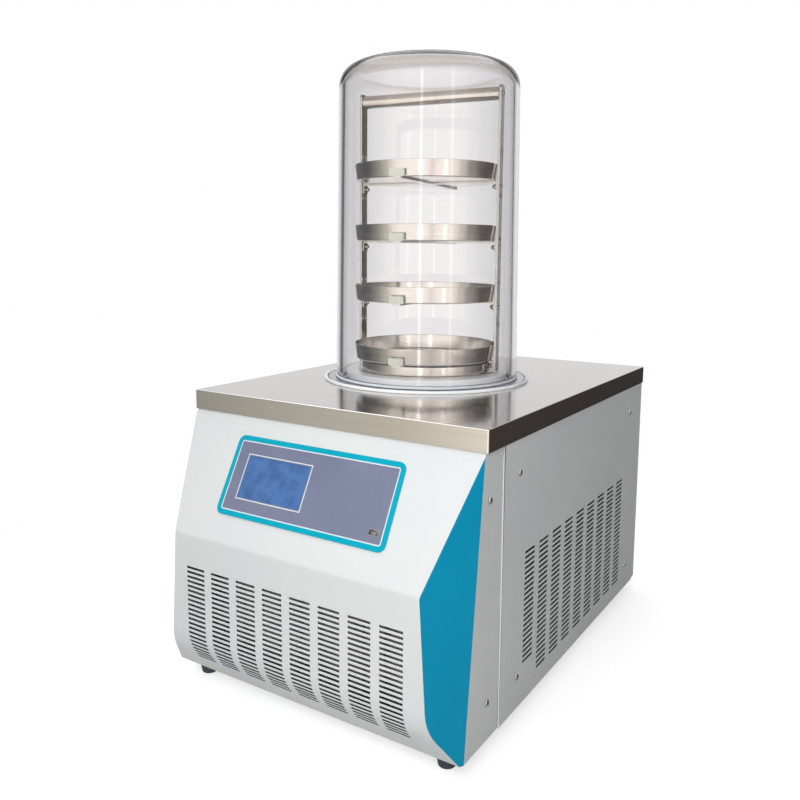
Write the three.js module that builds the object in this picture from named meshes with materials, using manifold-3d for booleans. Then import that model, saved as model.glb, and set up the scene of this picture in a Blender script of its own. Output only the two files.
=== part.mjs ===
// Bench-top freeze dryer: a sheet-metal refrigeration cabinet with a cold trap
// under its steel top, and a clear bell jar over a rack of four trays.
// Millimetres, +Z up, front towards -Y. The cabinet is drawn about the centre of
// its top plate, and the finished group is moved so that the middle of its
// footprint is the origin.
import * as THREE from "three";
import { mergeGeometries, mergeVertices } from "three/addons/utils/BufferGeometryUtils.js";
import Module from "manifold-3d";

const wasm = await Module();
wasm.setup();

// ---- driving dimensions ----

const clearance = 0.3;         // running gap between pieces that touch
const ringFacets = 32;         // faces round the jar, the trays and the big rings
const tuckGap = 0.4;           // cabinet walls inside the top plate's skirt
const seamGap = 0.5;           // open seam between neighbouring panels
const overcut = 1;             // how far a cutter runs past the face it opens
const weld = 1;                // how far joined forms run into each other
const smallFacets = 12;        // faces round shafts, stems and drain holes

// top plate, a folded stainless cover
const plateWidth = 425;
const plateDepth = 555;
const plateTop = 371;
const plateSheet = 1.2;
const plateSkirt = 25;
const plateFold = 2.6;         // outside radius of the folded edges

// feet
const footHeight = 20;
const footTopRadius = 14;
const footTipRadius = 10;
const footInsetX = 33;         // from the plate's side edge to the foot's centre
const footInsetFront = 7.5;    // from the base pan's front edge
const footInsetRear = 34;      // from the base pan's rear edge

// cabinet sheet metal
const panelSheet = 1.2;
const coverSheet = 1.5;
const panSheet = 1.5;
const panLip = 12;             // upturned front and rear edge of the base pan
const wallTuck = 12;           // height of the walls hidden behind the skirt
const foldClear = 2;           // side panel's folds stop this far above the pan's lip
const stripRecess = 1.5;       // cover sides lie this far inside the side panels
const sideFront = 43.5;        // from the plate's front edge to the side panel
const sideReturn = 10;         // folded edge of a side panel
const backRaise = 3;           // back panel's bottom edge above the side panels'
const backFlange = 12;         // back panel's edges, folded forward in line with the sides

// front cover: slanted panel face, upright grille face, bent under at the bottom
const kneeReach = 72.9;        // knee, in front of the plate's front edge
const kneeHeight = 208;
const kneeRadius = 9;
const underBendTop = 86;       // height where the upright face starts to bend under
const underBendRadius = 60;
const underBendAngle = THREE.MathUtils.degToRad(34);
const coverBottomLip = 15;
const coverTopLip = 5;
const bendSteps = 5;
const kneeHalfWidth = 175.2;   // half width of the front at the knee
const facetReachTop = 0;       // where the side facets leave the side wall, in front
const facetReachBottom = 36.2; // of the plate's front edge, at the top and bottom
const facetCutterSize = 1200;
const lipCut = 5;              // cutters above and below a lip's sheet

// grilles: rows of short slots
const frontColumns = 8;
const frontRows = 22;
const frontColumnPitch = 40.6;
const frontRowPitch = 6;
const frontSlotWidth = 29.2;
const frontSlotHeight = 2.8;
const frontGrilleTop = 166.6;
const sideColumns = 9;
const sideRows = 26;
const sideColumnPitch = 41.9;
const sideRowPitch = 6.4;
const sideSlotWidth = 27.4;
const sideSlotHeight = 2.9;
const sideGrilleBottom = 45.6;
const sideGrilleFront = 76;    // first column's middle, from the side panel's front edge
const shortRows = 4;           // rows that the first column leaves out at its bottom
const rearColumns = 3;
const rearRows = 7;
const rearGrilleSide = 109.7;  // grille's middle from the left panel
const rearGrilleZ = 190;

// control panel on the slanted face, measured from its middle and its top edge
const overlayWidth = 244;
const overlayTop = 24;
const overlayHeight = 99;
const overlayCorner = 9;
const overlayThickness = 0.8;
const screenWidth = 99;
const screenHeight = 56;
const screenX = -49.5;
const screenTop = 45.5;
const screenThickness = 4.6;
const boardMargin = 8;
const boardThickness = 8;
const usbWidth = 13;
const usbHeight = 7;
const usbX = 103.2;
const usbTop = 100.4;
const usbLength = 14;
const usbWall = 0.8;
const usbBack = 3;             // closed rear end of the port
const usbTongue = 1.6;
const usbTongueInset = 3;

// cold trap, its flange and the rings around the jar
const jarX = -20.2;            // the jar's axis, from the plate's centre
const jarY = -12.5;
const trapRadius = 107.5;      // inside
const trapSheet = 1.5;
const trapDepth = 180;
const trapLip = 14;
const trapWallCut = 8;         // port cutter, each way from the trap's inside wall
const foamThickness = 28;
const foamFloor = 16;
const flangeRadius = 141;
const flangeThickness = 2.5;
const rimRadius = 144.6;       // middle of the white trim ring
const rimWidth = 4.2;
const rimHeight = 3.6;
const sealThickness = 3;
const sealMargin = 1.4;        // seal beyond the jar's wall, each side

// bell jar
const jarRadius = 129.5;       // at the base
const jarTaper = 4.7;          // the wall leans in this far, base to top
const jarWall = 8;
const jarHeight = 427;
const jarCrown = 10;           // thickness of the top
const jarShoulder = 28;        // outside radius of the shoulder

// disc and guide cylinder over the trap
const discRadius = 115.5;
const discThickness = 10;
const guideRadius = 94;
const guideSheet = 1.2;
const guideAbove = 14;         // above the disc
const guideBelow = 62;         // below the disc
const guideBrim = 4;

// rack
const rackTurn = THREE.MathUtils.degToRad(9.5);  // the rack stands turned in the jar
const uprightSpread = 103;     // upright's middle from the jar's axis
const uprightWidth = 18;
const uprightThickness = 3.5;
const rackHeadroom = 21;       // from the uprights' tops to the jar's ceiling
const uprightCorner = 5;
const uprightHole = 2.2;       // radius
const holePairGap = 10;
const holeFirst = 9;
const holePitch = 58.5;
const holeRows = 6;
const handleRadius = 9;
const handleWall = 1.5;
const handleDrop = 11;         // handle's middle below the uprights' tops

// shelves and trays
const shelfCount = 4;
const shelfFirst = 16.8;       // shelf's top above the disc
const shelfPitch = 82;
const shelfSheet = 2;
const shelfBar = 12;
const shelfEar = 13;           // turned-down end at an upright
const clipWidth = 20;
const clipHeight = 10;
const clipDepth = 4;
const tongueHeight = 8;        // turned-up end of the shelf inside the clip
const trayTopRadius = 100.5;
const trayBaseRadius = 98.5;
const trayHeight = 22;
const traySheet = 1.2;
const traySlide = 6;           // the trays stand this far forward, against their clips

// frame posts
const postLeg = 20;
const postSheet = 1.5;
const frontPostY = 44;         // post's middle behind the side panel's front edge
const rearPostY = 54;          // post's middle before the side panel's rear edge
const bracketLeg = 16;
const bracketHeight = 318;
const bracketY = 28;           // bracket's middle before the side panel

// refrigeration, inside
const compressorRadius = 62;
const compressorHeight = 165;
const compressorX = 70;
const compressorY = 185;
const compressorBase = 140;
const compressorBaseSheet = 3;
const condenserSide = 79.7;    // condenser's side from the cabinet's panel
const condenserHeight = 168;
const condenserDepth = 25;
const condenserFins = 9;
const finDepth = 6;
const condenserBehind = 4.5;   // behind the base pan's front edge
const shroudDepth = 22;
const shroudSheet = 1.5;
const fanHole = 72;
const bladeTip = 66;
const bladeCount = 5;
const bladeThickness = 2;
const bladeChord = 34;
const bladePitch = THREE.MathUtils.degToRad(28);
const hubRadius = 20;
const hubLength = 16;
const hubGap = 2;              // hub before its bracket, and inside its shell
const shaftRadius = 4;
const shaftLength = 22;
const motorRadius = 32;
const motorLength = 44;
const fanBracketWidth = 22;
const fanBracketSheet = 2;
const gasPipe = 4;             // outside radius of the copper pipes
const pipeBend = 14;           // inside bend of a pipe
const pipeSides = 6;
const pipeSteps = 7;           // steps for each leg of a pipe
const dischargeHeight = 80;
const suctionHeight = 120;
const dischargeGap = 20;       // pipe's middle from the control box
const electricsSize = new THREE.Vector3(34, 110, 120);
const electricsSide = 10.7;    // box's side from the left panel
const electricsY = 140;

// rear fittings
const portFacets = 16;
const valveFacets = 12;
const portBore = 12;
const portWall = 2;
const portFlange = 20;
const portFlangeThickness = 5;
const portReach = 38;          // behind the rear panel
const portInside = 14;
const portCollar = 18;
const portCollarThickness = 4;
const portDrop = 52;           // port's axis below the top of the plate
const drainHeight = 60;
const drainPipe = 5;
const drainBore = 3.2;
const valveRadius = 12;
const valveLength = 24;
const valveNozzle = 6;
const valveNozzleLength = 11;
const valveInside = 8;         // nozzle inside the cabinet
const valveBoss = 3;           // lever boss above the body
const bossWall = 2;
const leverLength = 34;
const leverWidth = 9;
const leverThickness = 3;
const leverHub = 6;
const leverStem = 3;
const leverStemHeight = 6;
const inletWidth = 30;
const inletHeight = 24;
const inletRim = 4;
const inletDepth = 22;
const inletCavity = 16;
const inletWall = 2.5;
const rimThickness = 2.5;
const inletSide = 59.7;        // inlet's middle from the right panel
const inletZ = 62;
const pinWidth = 2;
const pinHeight = 4;
const pinSpread = 7;
const pinOffset = 2.5;
const pinLength = 12;
const switchWidth = 15;
const switchHeight = 21;
const switchRim = 3;
const switchDepth = 18;
const switchCavity = 10;
const switchWall = 1.5;
const switchGap = 14;          // above the inlet
const rockerDepth = 5.5;
const rockerPeak = 2.2;
const rockerTilt = THREE.MathUtils.degToRad(8);
const rockerClearance = 0.5;   // at the rocker's sides
const rockerSwing = 1;         // at its ends, for its swing

// ---- places worked out from the sizes above ----

const plateFront = -plateDepth / 2;
const plateRear = plateDepth / 2;
const plateUnder = plateTop - plateSheet;
const skirtBottom = plateTop - plateSkirt;
const sideOuter = plateWidth / 2 - plateSheet - tuckGap;
const sideInner = sideOuter - panelSheet;
const stripOuter = sideOuter - stripRecess;
const stripInner = stripOuter - coverSheet;
const backOuter = plateRear - plateSheet - seamGap;
const backInner = backOuter - panelSheet;
const sideFrontY = plateFront + sideFront;
const sideRearY = backOuter - backFlange - clearance;
const wallTop = skirtBottom + wallTuck;
const coverTopY = plateFront + plateSheet + tuckGap;
const coverTopZ = skirtBottom - tuckGap;
const kneeY = plateFront - kneeReach;
const coverRearY = sideFrontY - seamGap;
const panTop = footHeight + panSheet;
const panRearY = backInner - clearance;
const underEndY = kneeY + underBendRadius * (1 - Math.cos(underBendAngle));
const underEndZ = underBendTop - underBendRadius * Math.sin(underBendAngle);
const coverFootY = underEndY + (underEndZ - footHeight) * Math.tan(underBendAngle);
const panFrontY = coverFootY + coverBottomLip + seamGap;
const flangeTop = plateTop + clearance + flangeThickness;
const sealBottom = flangeTop + clearance;
const jarBottom = sealBottom + sealThickness + clearance;
const discBottom = flangeTop + clearance;
const discTop = discBottom + discThickness;
const rackBottom = discTop + clearance;
const jarCeiling = jarBottom + jarHeight - jarCrown;
const uprightHeight = jarCeiling - rackHeadroom - rackBottom;
const handleZ = rackBottom + uprightHeight - handleDrop;
const trapTop = plateUnder - clearance;
const trapFloor = trapTop - trapDepth;
const foamInner = trapRadius + trapSheet + clearance;
const foamOuter = foamInner + foamThickness;
const foamTop = trapTop - trapSheet - clearance;
const foamBottom = trapFloor - trapSheet - clearance - foamFloor;
const portZ = plateTop - portDrop;
const portEndY = backOuter + portReach;
const condenserFrontY = panFrontY + condenserBehind;
const shroudFrontY = condenserFrontY + condenserDepth + clearance;
const shroudRearY = shroudFrontY + shroudDepth;
const fanZ = panTop + clearance + condenserHeight / 2;
const fanBracketY = shroudRearY + clearance;
const motorFrontY = fanBracketY + fanBracketSheet + clearance;
const rearGrilleX = rearGrilleSide - sideInner;
const inletX = sideInner - inletSide;
const electricsX = electricsSide + electricsSize.x / 2 - sideInner;
const dischargeX = electricsX + electricsSize.x / 2 + dischargeGap;
const condenserWidth = 2 * (sideInner - condenserSide);

// ---- materials ----

const paint = (color, roughness, metalness) =>
  new THREE.MeshStandardMaterial({ color, roughness, metalness });
const whitePaint = paint(0xdfe4e4, 0.45, 0.1);
const steel = paint(0xb9bcbf, 0.28, 0.9);
const brushedSteel = paint(0xc2bdb6, 0.35, 0.9);
const galvanised = paint(0x9fa4a8, 0.5, 0.7);
const clear = new THREE.MeshStandardMaterial({
  color: 0xe6ecf0, roughness: 0.05, metalness: 0, transparent: true, opacity: 0.3,
});
const whitePlastic = paint(0xf2f4f4, 0.35, 0);
const palePlastic = paint(0xdfe2d6, 0.5, 0);
const darkRubber = paint(0x3d4852, 0.8, 0);
const siliconeRubber = paint(0xd9dde0, 0.6, 0);
const foam = paint(0x2b2d30, 0.95, 0);
const overlayFilm = paint(0x8c8fa8, 0.4, 0);
const screenGlass = paint(0x4678b8, 0.15, 0);
const circuitGreen = paint(0x1f6b45, 0.5, 0.1);
const blackEnamel = paint(0x1c1d20, 0.45, 0.3);
const copper = paint(0xb8734a, 0.35, 0.9);
const blackPlastic = paint(0x222326, 0.5, 0);
const aluminium = paint(0xb0b4b8, 0.45, 0.8);
const brass = paint(0xb59a55, 0.35, 0.9);
const redPlastic = paint(0xb3302c, 0.45, 0);

// ---- geometry helpers ----

const upright = new THREE.Matrix4();
const alongX = new THREE.Matrix4().makeBasis(
  new THREE.Vector3(0, 1, 0), new THREE.Vector3(0, 0, 1), new THREE.Vector3(1, 0, 0));
const alongY = new THREE.Matrix4().makeBasis(
  new THREE.Vector3(0, 0, 1), new THREE.Vector3(1, 0, 0), new THREE.Vector3(0, 1, 0));
const alongBack = new THREE.Matrix4().makeBasis(
  new THREE.Vector3(1, 0, 0), new THREE.Vector3(0, 0, 1), new THREE.Vector3(0, -1, 0));

// A closed geometry as a solid that can be joined and cut.
function solid(geometry) {
  const bare = geometry.index ? geometry.toNonIndexed() : geometry.clone();
  bare.deleteAttribute("normal");
  bare.deleteAttribute("uv");
  const merged = mergeVertices(bare, 1e-4);
  return new wasm.Manifold(new wasm.Mesh({
    numProp: 3,
    vertProperties: new Float32Array(merged.attributes.position.array),
    triVerts: new Uint32Array(merged.index.array),
  }));
}

// A solid's faces as a geometry for a mesh.
function faces(body) {
  const mesh = body.getMesh();
  const geometry = new THREE.BufferGeometry();
  geometry.setAttribute("position", new THREE.BufferAttribute(mesh.vertProperties.slice(), 3));
  geometry.setIndex(new THREE.BufferAttribute(mesh.triVerts.slice(), 1));
  geometry.computeVertexNormals();
  return geometry;
}

function block(x0, x1, y0, y1, z0, z1) {
  const geometry = new THREE.BoxGeometry(x1 - x0, y1 - y0, z1 - z0);
  return geometry.translate((x0 + x1) / 2, (y0 + y1) / 2, (z0 + z1) / 2);
}

// A block mirrored to the other side when side is -1.
function sideBlock(side, x0, x1, y0, y1, z0, z1) {
  const near = Math.min(side * x0, side * x1);
  const far = Math.max(side * x0, side * x1);
  return block(near, far, y0, y1, z0, z1);
}

// A revolved [radius, height] profile about +Z.
function turned(profile, segments) {
  const points = profile.map(([radius, height]) => new THREE.Vector2(radius, height));
  return new THREE.LatheGeometry(points, segments).rotateX(Math.PI / 2);
}

// A revolved ring with a rectangular section.
function ring(inner, outer, bottom, top, segments) {
  return turned([
    [inner, bottom],
    [outer, bottom],
    [outer, top],
    [inner, top],
    [inner, bottom],
  ], segments);
}

// A plain cylinder along X, Y or Z, from a start point.
function rod(radius, length, segments, direction, x, y, z) {
  const profile = [[0, 0], [radius, 0], [radius, length], [0, length]];
  return turned(profile, segments).applyMatrix4(direction).translate(x, y, z);
}

// An outline given as points, extruded by depth.
function slab(points, depth) {
  const shape = new THREE.Shape(points.map(([u, v]) => new THREE.Vector2(u, v)));
  return new THREE.ExtrudeGeometry(shape, { depth, bevelEnabled: false });
}

// Points of a round corner of the given radius at b, between the edges a-b and b-c.
function rounded(a, b, c, radius, steps) {
  const corner = new THREE.Vector2(...b);
  const back = new THREE.Vector2(...a).sub(corner).normalize();
  const ahead = new THREE.Vector2(...c).sub(corner).normalize();
  const half = back.angleTo(ahead) / 2;
  const bisector = back.clone().add(ahead).normalize();
  const centre = corner.clone().addScaledVector(bisector, radius / Math.sin(half));
  const start = corner.clone().addScaledVector(back, radius / Math.tan(half)).sub(centre);
  const turn = Math.PI - 2 * half;
  const sense = Math.sign(ahead.cross(back));
  return Array.from({ length: steps + 1 }, (_, i) => {
    const arm = start.clone().rotateAround(new THREE.Vector2(), sense * turn * i / steps);
    return [centre.x + arm.x, centre.y + arm.y];
  });
}

// A rectangle about the origin with round corners.
function roundedRectangle(width, height, radius, steps) {
  const w = width / 2;
  const h = height / 2;
  const corners = [[-w, -h], [w, -h], [w, h], [-w, h]];
  return corners.flatMap((corner, i) =>
    rounded(corners[(i + 3) % 4], corner, corners[(i + 1) % 4], radius, steps));
}

// A round bar swept along a path.
function pipe(points, radius) {
  const path = new THREE.CurvePath();
  let start = points[0];
  for (let i = 1; i < points.length - 1; i += 1) {
    const entry = points[i].clone().sub(start).setLength(pipeBend);
    const exit = points[i + 1].clone().sub(points[i]).setLength(pipeBend);
    const before = points[i].clone().sub(entry);
    const after = points[i].clone().add(exit);
    path.add(new THREE.LineCurve3(start, before));
    path.add(new THREE.QuadraticBezierCurve3(before, points[i], after));
    start = after;
  }
  path.add(new THREE.LineCurve3(start, points[points.length - 1]));
  const outline = Array.from({ length: pipeSides }, (_, i) => {
    const angle = 2 * Math.PI * i / pipeSides;
    return new THREE.Vector2(radius * Math.cos(angle), radius * Math.sin(angle));
  });
  const sweep = { extrudePath: path, steps: pipeSteps * (points.length - 1), bevelEnabled: false };
  return new THREE.ExtrudeGeometry(new THREE.Shape(outline), sweep);
}

// ---- the model ----

const dryer = new THREE.Group();
dryer.position.y = -(kneeY + portEndY) / 2;
const trapAxis = new THREE.Group();
trapAxis.position.set(jarX, jarY, 0);
dryer.add(trapAxis);

function add(name, geometry, material, parent = dryer) {
  const mesh = new THREE.Mesh(geometry, material);
  mesh.name = name;
  parent.add(mesh);
  return mesh;
}

// ---- front cover ----

const slantAngle = Math.atan2(coverTopY - kneeY, coverTopZ - kneeHeight);

// Side outline of the cover, moved inwards by inset.
function coverProfile(inset, rearY) {
  const shift = inset * Math.tan(slantAngle / 2);
  const front = kneeY + inset;
  const bottom = footHeight + inset;
  const bendCentre = kneeY + underBendRadius;
  const bendRadius = underBendRadius - inset;
  const bend = Array.from({ length: bendSteps + 1 }, (_, i) => {
    const angle = underBendAngle * (1 - i / bendSteps);
    return [bendCentre - bendRadius * Math.cos(angle), underBendTop - bendRadius * Math.sin(angle)];
  });
  const [endY, endZ] = bend[0];
  const toe = [endY + (endZ - bottom) * Math.tan(underBendAngle), bottom];
  const knee = [front, kneeHeight - shift];
  const shoulder = [coverTopY + inset, coverTopZ - shift];
  const top = wallTop - inset;
  return [
    [rearY, bottom],
    [rearY, top],
    [coverTopY + inset, top],
    shoulder,
    ...rounded(shoulder, knee, bend[bendSteps], kneeRadius - inset, 4),
    ...bend.reverse(),
    toe,
  ].reverse();
}

// A big block beyond the oblique side facet, whose plane is moved inwards by inset.
function facetCutter(side, inset) {
  const top = new THREE.Vector3(side * stripOuter, plateFront - facetReachTop, skirtBottom);
  const bottom = new THREE.Vector3(side * stripOuter, plateFront - facetReachBottom, footHeight);
  const knee = new THREE.Vector3(side * kneeHalfWidth, kneeY, kneeHeight);
  const up = top.clone().sub(bottom).normalize();
  const out = knee.clone().sub(bottom).cross(up).normalize();
  if (out.x * side < 0) out.negate();
  const along = new THREE.Vector3().crossVectors(up, out);
  const frame = new THREE.Matrix4().makeBasis(along, up, out);
  const centre = top.clone().add(bottom).multiplyScalar(0.5)
    .addScaledVector(out, facetCutterSize / 2 - inset);
  return new THREE.BoxGeometry(facetCutterSize, facetCutterSize, facetCutterSize)
    .applyMatrix4(frame.setPosition(centre));
}

// The cover's outer or inner form.
function coverForm(inset, rearY) {
  const half = stripOuter - inset;
  const outline = slab(coverProfile(inset, rearY), 2 * half);
  const body = solid(outline.applyMatrix4(alongX).translate(-half, 0, 0));
  return body.subtract(solid(facetCutter(1, inset))).subtract(solid(facetCutter(-1, inset)));
}

// Point and tilt on the front face, at a distance down from a height on its upright part.
function downTheFront(distance) {
  const straight = frontGrilleTop - underBendTop;
  const bendLength = underBendRadius * underBendAngle;
  if (distance <= straight) return { y: kneeY, z: frontGrilleTop - distance, tilt: 0 };
  const tilt = Math.min((distance - straight) / underBendRadius, underBendAngle);
  const beyond = Math.max(distance - straight - bendLength, 0);
  return {
    y: kneeY + underBendRadius * (1 - Math.cos(tilt)) + beyond * Math.sin(tilt),
    z: underBendTop - underBendRadius * Math.sin(tilt) - beyond * Math.cos(tilt),
    tilt,
  };
}

function frontSlots() {
  const cutters = [];
  for (let row = 0; row < frontRows; row += 1) {
    const { y, z, tilt } = downTheFront(row * frontRowPitch);
    for (let column = 0; column < frontColumns; column += 1) {
      const x = (column - (frontColumns - 1) / 2) * frontColumnPitch;
      const slot = new THREE.BoxGeometry(frontSlotWidth, 6 * coverSheet, frontSlotHeight);
      cutters.push(slot.rotateX(tilt).translate(x, y, z));
    }
  }
  return solid(mergeGeometries(cutters));
}

// Frame on the slanted face, from the middle of its top edge: X to the right,
// Y up the slope, Z outwards.
const slantFrame = new THREE.Matrix4().makeBasis(
  new THREE.Vector3(1, 0, 0),
  new THREE.Vector3(0, Math.sin(slantAngle), Math.cos(slantAngle)),
  new THREE.Vector3(0, -Math.cos(slantAngle), Math.sin(slantAngle)),
).setPosition(0, coverTopY, coverTopZ);

function onSlant(x0, x1, down0, down1, low, high) {
  return block(x0, x1, -down1, -down0, low, high).applyMatrix4(slantFrame);
}

const screenBox = [
  screenX - screenWidth / 2, screenX + screenWidth / 2, screenTop, screenTop + screenHeight,
];
const usbBox = [usbX - usbWidth / 2, usbX + usbWidth / 2, usbTop, usbTop + usbHeight];

function grown([x0, x1, down0, down1], by) {
  return [x0 - by, x1 + by, down0 - by, down1 + by];
}

function frontCover() {
  const wallX = stripInner - clearance;
  const throughRear = coverRearY + coverBottomLip;
  const lipY = coverFootY + coverBottomLip;
  const topLipY = coverTopY + coverTopLip + coverSheet;
  const through = 4 * coverSheet;
  return coverForm(0, coverRearY)
    .subtract(coverForm(coverSheet, throughRear))
    .subtract(solid(block(-wallX, wallX, lipY, throughRear, footHeight - lipCut, footHeight + lipCut)))
    .subtract(solid(block(-wallX, wallX, topLipY, throughRear, wallTop - lipCut, wallTop + lipCut)))
    .subtract(frontSlots())
    .subtract(solid(onSlant(...grown(screenBox, clearance), -through, through)))
    .subtract(solid(onSlant(...grown(usbBox, clearance), -through, through)));
}

add("front_cover", faces(frontCover()), whitePaint);

// ---- control panel ----

function controlOverlay() {
  const outline = roundedRectangle(overlayWidth, overlayHeight, overlayCorner, 4);
  const film = slab(outline, overlayThickness)
    .translate(0, -(overlayTop + overlayHeight / 2), clearance)
    .applyMatrix4(slantFrame);
  const through = 4 * overlayThickness;
  return solid(film)
    .subtract(solid(onSlant(...grown(screenBox, clearance), -through, through)))
    .subtract(solid(onSlant(...grown(usbBox, clearance), -through, through)));
}

const faceLevel = clearance + overlayThickness;
const screenBack = faceLevel - screenThickness;

function usbPort() {
  const low = faceLevel - usbLength;
  const shell = solid(onSlant(...usbBox, low, faceLevel));
  const mouth = solid(onSlant(...grown(usbBox, -usbWall), low + usbBack, faceLevel + overcut));
  const [x0, x1, down0, down1] = usbBox;
  const middle = (down0 + down1) / 2;
  const tongue = solid(onSlant(
    x0 + usbTongueInset, x1 - usbTongueInset, middle, middle + usbTongue,
    low + usbBack - weld, faceLevel - usbWall));
  return shell.subtract(mouth).add(tongue);
}

const boardFace = screenBack - clearance;
add("control_overlay", faces(controlOverlay()), overlayFilm);
add("touch_screen", onSlant(...screenBox, screenBack, faceLevel), screenGlass);
add("display_board",
  onSlant(...grown(screenBox, boardMargin), boardFace - boardThickness, boardFace), circuitGreen);
add("usb_port", faces(usbPort()), steel);

// ---- side and rear panels ----

// Cutters for columns of short slots, spread along u and stacked along Z.
function slotCutters(columns, rows, u0, z0, slotAt, skip = () => false) {
  const cutters = [];
  for (let column = 0; column < columns; column += 1) {
    for (let row = 0; row < rows; row += 1) {
      if (skip(column, row)) continue;
      cutters.push(slotAt(u0 + column * sideColumnPitch, z0 + row * sideRowPitch));
    }
  }
  return solid(mergeGeometries(cutters));
}

// A side panel: a flat sheet with its upright edges folded inwards.
function sidePanel(side) {
  const inner = sideInner - sideReturn;
  const foldBottom = panTop + panLip + foldClear;
  const fold = (y) =>
    solid(sideBlock(side, inner, sideOuter, y, y + panelSheet, foldBottom, skirtBottom));
  const sheet = solid(sideBlock(
    side, sideInner, sideOuter, sideFrontY, sideRearY, footHeight, wallTop));
  return sheet.add(fold(sideFrontY)).add(fold(sideRearY - panelSheet));
}

function sideGrille() {
  const through = 4 * panelSheet;
  const slotAt = (y, z) => new THREE.BoxGeometry(through, sideSlotWidth, sideSlotHeight)
    .translate(sideOuter - panelSheet / 2, y, z);
  return slotCutters(
    sideColumns, sideRows, sideFrontY + sideGrilleFront, sideGrilleBottom, slotAt,
    (column, row) => column === 0 && row < shortRows);
}

add("side_panel_right", faces(sidePanel(1).subtract(sideGrille())), whitePaint);
add("side_panel_left", faces(sidePanel(-1)), whitePaint);

const switchZ = inletZ + inletHeight / 2 + inletRim + switchGap + switchHeight / 2;

function rearGrille() {
  const through = 4 * panelSheet;
  const left = rearGrilleX - (rearColumns - 1) * sideColumnPitch / 2;
  const low = rearGrilleZ - (rearRows - 1) * sideRowPitch / 2;
  const slotAt = (x, z) => new THREE.BoxGeometry(sideSlotWidth, through, sideSlotHeight)
    .translate(x, backInner + panelSheet / 2, z);
  return slotCutters(rearColumns, rearRows, left, low, slotAt);
}

function backPanel() {
  const reach = 4 * panelSheet;
  const hole = (radius, facets, z) =>
    solid(rod(radius + clearance, 2 * reach, facets, alongY, jarX, backInner - reach, z));
  const window = (width, height, z) => solid(block(
    inletX - width / 2 - clearance, inletX + width / 2 + clearance,
    backInner - reach, backOuter + reach,
    z - height / 2 - clearance, z + height / 2 + clearance));
  const bottom = footHeight + backRaise;
  const flange = (side) => solid(sideBlock(
    side, sideInner, sideOuter, backOuter - backFlange, backOuter, bottom, wallTop));
  return solid(block(-sideOuter, sideOuter, backInner, backOuter, bottom, wallTop))
    .add(flange(-1))
    .add(flange(1))
    .subtract(rearGrille())
    .subtract(hole(portBore + portWall, portFacets, portZ))
    .subtract(hole(valveNozzle, valveFacets, drainHeight))
    .subtract(window(inletWidth, inletHeight, inletZ))
    .subtract(window(switchWidth, switchHeight, switchZ));
}

add("back_panel", faces(backPanel()), whitePaint);

// ---- top plate ----

// Section of a folded cover, open below, with round upper edges.
function coverSection(half, top, bottom, radius) {
  return [
    [-half, bottom],
    [half, bottom],
    ...rounded([half, bottom], [half, top], [-half, top], radius, 3),
    ...rounded([half, top], [-half, top], [-half, bottom], radius, 3),
  ];
}

// The form whose sections along X and along Y are both such a section.
function foldedForm(halfX, halfY, top, bottom, radius) {
  const acrossX = slab(coverSection(halfX, top, bottom, radius), 2 * halfY)
    .applyMatrix4(alongBack).translate(0, halfY, 0);
  const acrossY = slab(coverSection(halfY, top, bottom, radius), 2 * halfX)
    .applyMatrix4(alongX).translate(-halfX, 0, 0);
  return solid(acrossX).intersect(solid(acrossY));
}

function topPlate() {
  const halfX = plateWidth / 2;
  const halfY = plateDepth / 2;
  const hole = rod(
    trapRadius, 4 * plateSheet, ringFacets, upright, jarX, jarY, plateTop - 2 * plateSheet);
  return foldedForm(halfX, halfY, plateTop, skirtBottom, plateFold)
    .subtract(foldedForm(
      halfX - plateSheet, halfY - plateSheet, plateUnder, skirtBottom - plateSkirt,
      plateFold - plateSheet))
    .subtract(solid(hole));
}

add("top_plate", faces(topPlate()), steel);

// ---- base pan, posts and feet ----

function basePan() {
  const half = sideInner - clearance;
  const frontHalf = stripInner - clearance;
  const wide = solid(block(-half, half, panFrontY, panRearY, footHeight, panTop + panLip));
  const hollow = solid(block(
    -half - overcut, half + overcut, panFrontY + panSheet, panRearY - panSheet,
    panTop, panTop + panLip + overcut));
  const notch = (side) => solid(sideBlock(
    side, frontHalf, half + overcut, panFrontY - overcut, sideFrontY + clearance,
    0, panTop + panLip + overcut));
  return wide.subtract(hollow).subtract(notch(1)).subtract(notch(-1));
}

// An upright angle with one leg along the cabinet side.
function angle(side, outer, y, leg, sheet, bottom, top) {
  const flat = sideBlock(side, outer - sheet, outer, y - leg / 2, y + leg / 2, bottom, top);
  const turnedIn = sideBlock(side, outer - leg, outer, y - leg / 2, y - leg / 2 + sheet, bottom, top);
  return faces(solid(flat).add(solid(turnedIn)));
}

function addFrame(side, word) {
  const standing = panTop + clearance;
  const outer = sideInner - clearance;
  const front = sideFrontY + frontPostY;
  const rear = sideRearY - rearPostY;
  add(`post_front_${word}`,
    angle(side, outer, front, postLeg, postSheet, standing, trapTop), galvanised);
  add(`post_rear_${word}`,
    angle(side, outer, rear, postLeg, postSheet, standing, trapTop), galvanised);
  add(`cover_bracket_${word}`,
    angle(side, stripInner - clearance, sideFrontY - bracketY, bracketLeg, postSheet, standing,
      standing + bracketHeight), galvanised);
  for (const [end, y] of [["front", panFrontY + footInsetFront], ["rear", panRearY - footInsetRear]]) {
    const foot = turned([
      [0, 0],
      [footTipRadius, 0],
      [footTopRadius, footHeight - clearance],
      [0, footHeight - clearance],
    ], smallFacets);
    foot.translate(side * (plateWidth / 2 - footInsetX), y, 0);
    add(`foot_${end}_${word}`, foot, darkRubber);
  }
}

add("base_pan", faces(basePan()), galvanised);
addFrame(-1, "left");
addFrame(1, "right");

// ---- cold trap, flange and the rings around the jar ----

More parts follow.
